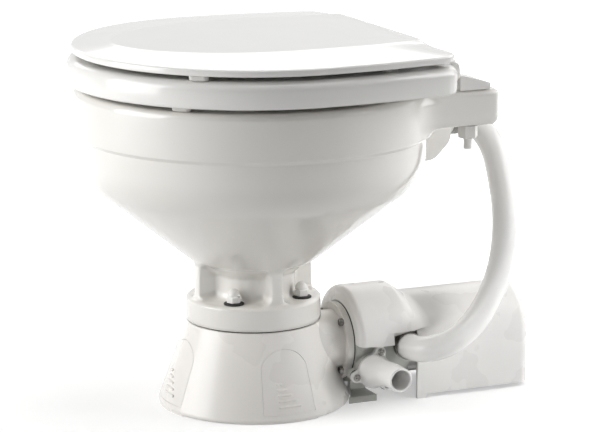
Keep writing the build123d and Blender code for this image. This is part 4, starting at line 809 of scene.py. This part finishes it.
# %% Tree: grip ribs
tree, sizes = new_shape_tree("grip_ribs_on_a_cone", {
    "Ribs": 5, "Pitch": 5 * MM, "Lowest": 15 * MM, "Longest": 20 * MM, "Shortening": 4.2 * MM,
    "Thickness": 2.8 * MM, "Foot Radius": 92 * MM, "Lean": 0.35625, "Covers": 3,
    "First Angle": -math.pi, "Angle Step": math.pi / 2, "Finish": slot_finish["base_plastic"]})
work_out(tree, sizes,
         ("In", "MULTIPLY", "Lowest", "Lean"), ("Reach", "SUBTRACT", "Foot Radius", "In"),
         ("Pitch In", "MULTIPLY", "Pitch", "Lean"), ("Pitch In", "MULTIPLY", "Pitch In", -1.0),
         ("Side", "MULTIPLY", "Longest", -0.5), ("Round", "MULTIPLY", "Thickness", 0.5),
         ("Shorter", "MULTIPLY", "Number", "Shortening"),
         ("Length", "SUBTRACT", "Longest", "Shorter"),
         ("Turned", "MULTIPLY", "Number", "Angle Step"), ("Angle", "ADD", "First Angle", "Turned"))
line = made(tree, "GeometryNodeMeshLine", {
    "Count": sizes["Ribs"],
    "Start Location": (sizes["Reach"], sizes["Side"], sizes["Lowest"]),
    "Offset": (sizes["Pitch In"], 0.0, sizes["Pitch"])})
far_line = made(tree, "GeometryNodeSetPosition",
                {0: line, "Offset": (0.0, sizes["Length"], 0.0)})
axis = made(tree, "GeometryNodeCurvePrimitiveLine",
            {"Start": (0.0, 0.0, 0.0), "End": (0.0, 1.0, 0.0)})
section = made(tree, "GeometryNodeCurvePrimitiveCircle",
               {"Resolution": 10, "Radius": sizes["Round"]})
bar = made(tree, "GeometryNodeCurveToMesh", {0: axis, 1: section, "Fill Caps": True})
end = made(tree, "GeometryNodeMeshIcoSphere", {"Radius": sizes["Round"], "Subdivisions": 2})
ribs = [made(tree, "GeometryNodeInstanceOnPoints",
             {"Points": points, "Instance": shape, "Scale": (1.0, length, 1.0)})
        for points, shape, length in (
            (line, bar, sizes["Length"]), (line, end, 1.0), (far_line, end, 1.0))]
ribs = made(tree, "GeometryNodeRealizeInstances", {0: join_shapes(tree, *ribs)})
finish_tree(tree, round_the_axis(tree, ribs, sizes["Covers"], sizes["Angle"], 0.0), sizes)
place_piece("cover_grip_ribs", grow("cover_grip_ribs", tree, "base_plastic", {}), "root",
            "base_plastic")

# %% [markdown]
# The soft pads under the seat and the lid are rounded bars that sit just inside an oval edge and
# follow its direction. One tree takes the oval's two half sizes and two angles, mirrors them and
# works out how far from the middle the oval lies at each.

# %% Tree: pads on an oval
tree, sizes = new_shape_tree("pads_on_an_oval", {
    "Length": 18 * MM, "Width": 8 * MM, "Height": 4.7 * MM, "Half Width": 157.5 * MM,
    "Front": 158.5 * MM, "Front Angle": math.radians(-46.4), "Rear Angle": math.radians(28),
    "Bottom": 304.3 * MM, "Finish": slot_finish["white_rubber"]})
work_out(tree, sizes,
         ("Round", "MULTIPLY", "Width", 0.5), ("Foot", "MULTIPLY", "Round", 0.8),
         ("Straight", "SUBTRACT", "Height", 1 * MM), ("Half Length", "MULTIPLY", "Length", 0.5),
         ("End", "SUBTRACT", "Half Length", "Round"), ("Back", "MULTIPLY", "End", -2.0),
         ("Odd", "MODULO", "Number", 2.0), ("Rear", "GREATER_THAN", "Number", 1.5),
         ("Between", "SUBTRACT", "Rear Angle", "Front Angle"),
         ("Between", "MULTIPLY", "Between", "Rear"), ("Angle", "ADD", "Front Angle", "Between"),
         ("Across", "COSINE", "Angle", 0.0), ("Across", "DIVIDE", "Across", "Half Width"),
         ("Across", "MULTIPLY", "Across", "Across"), ("Along", "SINE", "Angle", 0.0),
         ("Along", "DIVIDE", "Along", "Front"), ("Along", "MULTIPLY", "Along", "Along"),
         ("Squares", "ADD", "Across", "Along"), ("Root", "SQRT", "Squares", 0.0),
         ("Reach", "DIVIDE", 1.0, "Root"), ("Mirrored", "MULTIPLY", "Angle", -2.0),
         ("Mirrored", "ADD", "Mirrored", math.pi), ("Mirrored", "MULTIPLY", "Mirrored", "Odd"),
         ("Turn", "ADD", "Angle", "Mirrored"))
button = stacked(tree, 20, sizes["Foot"],
                 [(0.4 * MM, 1.12), (0.6 * MM, 1.116), (sizes["Straight"], 1.0)])
two = made(tree, "GeometryNodeMeshLine", {
    "Count": 2, "Offset": (0.0, sizes["Back"], 0.0),
    "Start Location": (0.0, sizes["End"], sizes["Bottom"])})
buttons = made(tree, "GeometryNodeInstanceOnPoints", {"Points": two, "Instance": button})
pad = made(tree, "GeometryNodeConvexHull",
           {0: made(tree, "GeometryNodeRealizeInstances", {0: buttons})})
finish_tree(tree, round_the_axis(tree, pad, 4, sizes["Turn"], sizes["Reach"]), sizes)
for part, values in (("seat", {}), ("lid", {
        "Half Width": 165.5 * MM, "Front": 163.5 * MM, "Front Angle": math.radians(-39.6),
        "Rear Angle": math.radians(25), "Bottom": 333.8 * MM, "Height": 4.2 * MM})):
    place_piece(part + "_pads", grow(part + "_pads", tree, "white_rubber", values), part,
                "white_rubber", part + "_bumpers")

# %% [markdown]
# The hose is held at both ends by a stainless worm-drive clip: a thin band with slanting slots, and
# a small housing whose screw bites in the slots. Pressed ridges stand for the slots here.

# %% Tree: worm-drive clips
tree, sizes = new_shape_tree("worm_drive_clip", {
    "Radius": 12.9 * MM, "Width": 8 * MM, "Band": 0.7 * MM, "Ridges": 46, "Screw Radius": 2.6 * MM,
    "Screw Length": 9 * MM, "Slant": 0.25, "Place": (0.0, 0.0, 0.0), "Turn": (0.0, 0.0, 0.0),
    "Finish": slot_finish["stainless_steel"]})
work_out(tree, sizes,
         ("Sunk", "MULTIPLY", "Band", 0.45), ("Reach", "ADD", "Radius", "Sunk"),
         ("Ridge Width", "MULTIPLY", "Width", 0.6), ("Step", "DIVIDE", 2 * math.pi, "Ridges"),
         ("Angle", "MULTIPLY", "Number", "Step"), ("Thread", "MULTIPLY", "Screw Length", 0.7),
         ("Head", "MULTIPLY", "Screw Length", 0.2), ("Start", "MULTIPLY", "Screw Length", 0.5),
         ("Screw Reach", "ADD", "Radius", "Screw Radius"))
ring = made(tree, "GeometryNodeCurvePrimitiveCircle",
            {"Resolution": 64, "Radius": sizes["Radius"]})
strap = made(tree, "GeometryNodeCurvePrimitiveQuadrilateral",
             {"Width": sizes["Band"], "Height": sizes["Width"]})
band = made(tree, "GeometryNodeCurveToMesh", {0: ring, 1: strap})
ridge = made(tree, "GeometryNodeMeshCube", {"Size": (0.3 * MM, 0.7 * MM, sizes["Ridge Width"])})
ridge = made(tree, "GeometryNodeTransform", {0: ridge, "Rotation": (sizes["Slant"], 0.0, 0.0)})
ridges = round_the_axis(tree, ridge, sizes["Ridges"], sizes["Angle"], sizes["Reach"])
screw = stacked(tree, 18, sizes["Screw Radius"],
                [(sizes["Thread"], 0.72), (0.6 * MM, 1.0), (0.0, 1.38), (sizes["Head"], 0.9)])
screw = made(tree, "GeometryNodeTransform", {
    0: screw, "Rotation": (math.pi / 2, 0.0, 0.0),
    "Translation": (sizes["Screw Reach"], sizes["Start"], 0.0)})
clip = made(tree, "GeometryNodeTransform", {
    0: join_shapes(tree, band, ridges, screw), "Translation": sizes["Place"],
    "Rotation": sizes["Turn"]})
finish_tree(tree, clip, sizes)
clips = [grow("clip", tree, "stainless_steel", {"Place": place, "Turn": turn}) for place, turn in (
    ((68.5 * MM, 129 * MM, 55 * MM), (math.pi / 2, 0.0, math.pi / 2)),
    ((0.0, 208.5 * MM, 254 * MM), (math.pi / 2, math.pi, 0.0)))]
place_piece("worm_drive_clips", joined("worm_drive_clips", clips), "root", "stainless_steel",
            "hose_clips")

# %% [markdown]
# ## Shells and fittings round the pump
# The outer cheek of each hinge block hides the end of the pin: a rounded plate beside the lid's
# knuckle.
#
# The cover over the pump swells into a big round shoulder. Its front edge is well rounded and its
# rear slopes softly down to the tube over the motor, because the shell is drawn off its mould in
# one direction. It is a section swept along an arch round the shaft.

# %% Hinge cheeks
cheeks = [lug(32, "cheek", side, 110.1, 1.8, [(153.8, 325.4, 5.0), (155.0, 318.5, 4.6)])
          for side in (-1, 1)]
place_piece("hinge_cheeks", joined("hinge_cheeks", cheeks), "root", "hinge_plastic")

# %% Cover shoulder
SHAFT_X, SHAFT_Z = 22.0, 55.0
SLOPE_Y, SLOPE_LENGTH, SHOULDER_RADIUS, TUBE_RADIUS = 126.0, 32.0, 52.4, 42.3
NOSE_Y, NOSE_ROUND, NOSE_REACH = 78.6, 6.5, 38.4
LOW_EDGE_Y, LOW_EDGE_Z = (100, 106), (59.0, 69.5)
SHELL_WALL, ARCH_STEPS = 1.5, 72


def arch_shell(name, outer):
    """A shell in millimetres, swept round the shaft from one side's low edge over the top."""
    nose_end = NOSE_Y + NOSE_ROUND + SHELL_WALL
    section = outer + [(y + SHELL_WALL * (y < nose_end), max(r - SHELL_WALL, NOSE_REACH))
                       for y, r in outer[::-1]]
    low_z = np.interp([y for y, r in section], LOW_EDGE_Y, LOW_EDGE_Z)
    low = [math.asin((z - SHAFT_Z) / r) for z, (y, r) in zip(low_z, section)]
    rings = []
    for k in range(ARCH_STEPS + 1):
        ring = []
        for (y, r), lowest in zip(section, low):
            turn = lowest + (math.pi - 2 * lowest) * k / ARCH_STEPS
            if y > SLOPE_Y:
                # The slope is shorter over the top than down the sides.
                y = SLOPE_Y + (y - SLOPE_Y) * (0.45 + 0.55 * abs(math.cos(turn)))
            ring.append((SHAFT_X + r * math.cos(turn), y, SHAFT_Z + r * math.sin(turn)))
        rings.append(ring)
    mesh = capped_mesh(name, rings)
    mesh.set_sharp_from_angle(angle=math.radians(50))
    return mesh


outer = [(NOSE_Y, NOSE_REACH)]
outer += [(NOSE_Y + inset, SHOULDER_RADIUS - NOSE_ROUND + up)
          for inset, up in round_corner(10, NOSE_ROUND)]
outer += [(y, SHOULDER_RADIUS) for y in (92.0, 100.0, 103.0, 106.0, 115.0, SLOPE_Y)]
outer += [(SLOPE_Y + SLOPE_LENGTH * t,
           SHOULDER_RADIUS - (SHOULDER_RADIUS - TUBE_RADIUS) * t * t * (3 - 2 * t))
          for t in (k / 16 for k in range(1, 17))]
place_piece("cover_shoulder", arch_shell("cover_shoulder", outer), "root", "cover_plastic")

# %% [markdown]
# The discharge tail is an elbow-like bell on a flange with three ears. The bell narrows in one soft
# curve to the tail that takes the hose, and the tail's lip is rounded so that the hose slips on.

# %% Discharge tail
PORT_X, PORT_Y, PORT_Z, PORT_STEPS = 71.0, 94.0, 34.0, 96
FLANGE_RADIUS, EAR_REACH, EAR_RADIUS, EAR_BLEND = 16.5, 19.3, 5.4, 5.0
LOOK_FROM, LOOK_TO, LOOK_STEPS = 12, 28, 800
TAIL_SHIFT_Y, TAIL_SHIFT_Z, TAIL_SHIFT_LENGTH = 5.0, 2.2, 26.0
BORE = 8.9

port_turns = np.arange(PORT_STEPS) * 2 * math.pi / PORT_STEPS
look = np.linspace(LOOK_FROM, LOOK_TO, LOOK_STEPS)[:, None]
flange_y, flange_z = look * np.cos(port_turns), look * np.sin(port_turns)
to_flange = look - FLANGE_RADIUS + 0 * flange_y
for ear in np.radians((72, 192, 312)):
    to_ear = np.hypot(flange_y - EAR_REACH * math.cos(ear), flange_z - EAR_REACH * math.sin(ear))
    to_flange = join_softly(to_flange, to_ear - EAR_RADIUS, EAR_BLEND)
inside = np.count_nonzero(to_flange < 0, axis=0) / LOOK_STEPS
flange_reach = LOOK_FROM + (LOOK_TO - LOOK_FROM) * inside


def port_ring(distance, radius):
    """A ring about the tail's axis, which shifts to the rear and up in a soft S along the bell."""
    along = min(max(distance / TAIL_SHIFT_LENGTH, 0), 1)
    shift = along * along * (3 - 2 * along)
    return [(PORT_X + distance, PORT_Y + TAIL_SHIFT_Y * shift + reach * math.cos(turn),
             PORT_Z + TAIL_SHIFT_Z * shift + reach * math.sin(turn))
            for turn, reach in zip(port_turns, np.broadcast_to(radius, PORT_STEPS))]


# Each row is (distance from the flange's face, radius).
plate = [(-4.0, flange_reach), (-0.9, flange_reach), (-0.25, flange_reach - 0.25),
         (0.0, flange_reach - 0.9), (0.0, BORE), (-4.0, BORE)]
bell = [(-1.0, 16.8), (0.2, 16.6), (1.2, 15.8), (3, 14.9), (6, 13.9), (10, 13.0), (15, 12.3),
        (21, 11.9), (30, 11.7), (44, 11.6), (45.1, 11.4), (45.7, 10.8), (45.7, 10.0), (45.2, 9.5),
        (44, 9.3), (22, 9.3), (4, BORE), (-1.0, BORE)]
tail = [ringed_mesh("tail", [port_ring(*row) for row in rows]) for rows in (plate, bell)]
place_piece("discharge_tail", joined("discharge_tail", tail), "root", "port_plastic",
            "discharge_port")

# %% [markdown]
# ## The studio
# Catalogue pictures of white goods are shot on white paper with a big soft lamp on each side and
# one above, and here a small one with a grid, which lights the pump. The left lamp is the
# strongest, so the forms turn from white to grey. The room behind the photographer is dim, and the
# glaze mirrors it as a grey band down the middle of the bowl.
#
# The paper is seen as pure white, but a white object must not be lit by it as by a lamp. Light
# Path tells the rays apart: rays from the camera, and those that left a gloss or glass, see white,
# and rays that gather light get a plain dim ambient.

# %% Floor
FLOOR_HALF_SIZE = 6.0
FLOOR_DROP = 0.05 * MM
SHADOW_REACH = (0.3, 0.8)
PAPER_LIFT = (0.42, 1.0)

floor_mesh = bpy.data.meshes.new("floor")
floor_corners = [(x * FLOOR_HALF_SIZE, y * FLOOR_HALF_SIZE, 0)
                 for x, y in ((-1, -1), (1, -1), (1, 1), (-1, 1))]
floor_mesh.from_pydata(floor_corners, [], [(0, 1, 2, 3)])
floor = bpy.data.objects.new("floor", floor_mesh)
floor.location.z = -FLOOR_DROP
scene.collection.objects.link(floor)


def seen_rays(tree):
    """1 for rays from the camera, a gloss or a glass, and 0 for rays that gather light."""
    seen, *mirrored = [made(tree, "ShaderNodeLightPath", output="Is %s Ray" % kind)
                       for kind in ("Camera", "Glossy", "Transmission")]
    for kind in mirrored:
        seen = made(tree, "ShaderNodeMath", {0: seen, 1: kind}, operation="MAXIMUM")
    return seen


floor_paper = bpy.data.materials.new("floor_paper_white")
tree = cleared_tree(floor_paper)
place = made(tree, "ShaderNodeTexCoord", output="Object")
away = made(tree, "ShaderNodeVectorMath", {0: place}, "Value", operation="LENGTH")
lift = made(tree, "ShaderNodeMapRange", {
    "Value": away, "From Min": SHADOW_REACH[0], "From Max": SHADOW_REACH[1],
    "To Min": PAPER_LIFT[0], "To Max": PAPER_LIFT[1]}, interpolation_type="SMOOTHSTEP")
paper = made(tree, "ShaderNodeBsdfDiffuse", {"Color": colour("DFDFDF")})
glow = made(tree, "ShaderNodeEmission", {"Color": colour("FFFFFF"), "Strength": lift})
both = made(tree, "ShaderNodeAddShader", {0: paper, 1: glow})
mixed = made(tree, "ShaderNodeMixShader", {0: seen_rays(tree), 1: paper, 2: both})
add_node(tree, "ShaderNodeOutputMaterial", {}, {"Surface": mixed})
floor.data.materials.append(floor_paper)
print("floor of", 2 * FLOOR_HALF_SIZE, "m")

# %% World
AMBIENT = 0.12
ROOM_EDGES = (0.35, 0.85)
ROOM_WHITE = 0.86
ROOM_GREY = 0.35
camera_right = Vector((math.cos(VIEW_AZIMUTH), math.sin(VIEW_AZIMUTH), 0.0))
camera_front = Vector((math.sin(VIEW_AZIMUTH), -math.cos(VIEW_AZIMUTH), 0.0))

world = bpy.data.worlds.new("studio")
scene.world = world
tree = cleared_tree(world)
from_camera = made(tree, "ShaderNodeLightPath", output="Is Camera Ray")
direction = made(tree, "ShaderNodeTexCoord", output="Generated")
towards_room = (camera_front + camera_right * 0.25).normalized()
facing = made(tree, "ShaderNodeVectorMath", {0: direction, 1: towards_room}, "Value",
              operation="DOT_PRODUCT")
room = made(tree, "ShaderNodeMapRange", {
    "Value": facing, "From Min": ROOM_EDGES[0], "From Max": ROOM_EDGES[1],
    "To Min": ROOM_WHITE, "To Max": ROOM_GREY}, interpolation_type="SMOOTHSTEP")
white_or_room = made(tree, "ShaderNodeMath", {0: room, 1: from_camera}, operation="MAXIMUM")
ambient, backdrop = (
    made(tree, "ShaderNodeBackground", {"Color": colour("FFFFFF"), "Strength": strength})
    for strength in (AMBIENT, white_or_room))
mixed = made(tree, "ShaderNodeMixShader", {0: seen_rays(tree), 1: ambient, 2: backdrop})
add_node(tree, "ShaderNodeOutputWorld", {}, {"Surface": mixed})
print("ambient", AMBIENT)

# %% Lamps
PUMP_MIDDLE = Vector((60.0, 200.0, 60.0)) * MM
BARE = 180


def lamp(name, right, front, up, width, height, watts, aim=LOOKED_AT, beam=BARE):
    """A soft rectangular lamp aimed at a point, placed by the camera's own directions."""
    light = bpy.data.lights.new(name, "AREA")
    light.shape = "RECTANGLE"
    light.size, light.size_y = width, height
    light.energy = watts
    light.spread = math.radians(beam)
    lamp_object = bpy.data.objects.new(name, light)
    place = LOOKED_AT + camera_right * right + camera_front * front + Vector((0, 0, up))
    lamp_object.location = place
    lamp_object.rotation_mode = "QUATERNION"
    lamp_object.rotation_quaternion = (aim - place).to_track_quat("-Z", "Y")
    lamp_object.visible_camera = False
    lamp_object.visible_glossy = beam == BARE
    scene.collection.objects.link(lamp_object)


LAMPS = (
    ("key_lamp", -1.75, 0.5, 0.5, 1.3, 1.6, 31),
    ("top_lamp", 0.25, -0.1, 2.0, 1.6, 1.2, 12),
    ("back_lamp", 0.0, -1.7, 1.15, 3.0, 0.9, 11),
    ("rim_lamp", 1.7, -0.8, 0.8, 0.8, 1.2, 8),
    ("side_lamp", 1.6, 0.1, 1.1, 0.9, 0.9, 10),
    ("gridded_pump_lamp", 1.35, 0.45, 0.05, 0.35, 0.35, 0.2, PUMP_MIDDLE, 24),
)
for row in LAMPS:
    lamp(*row)
scene.view_settings.view_transform = "Standard"
print(len(LAMPS), "lamps")

# %% Bring the scene up to date
bpy.context.view_layer.update()
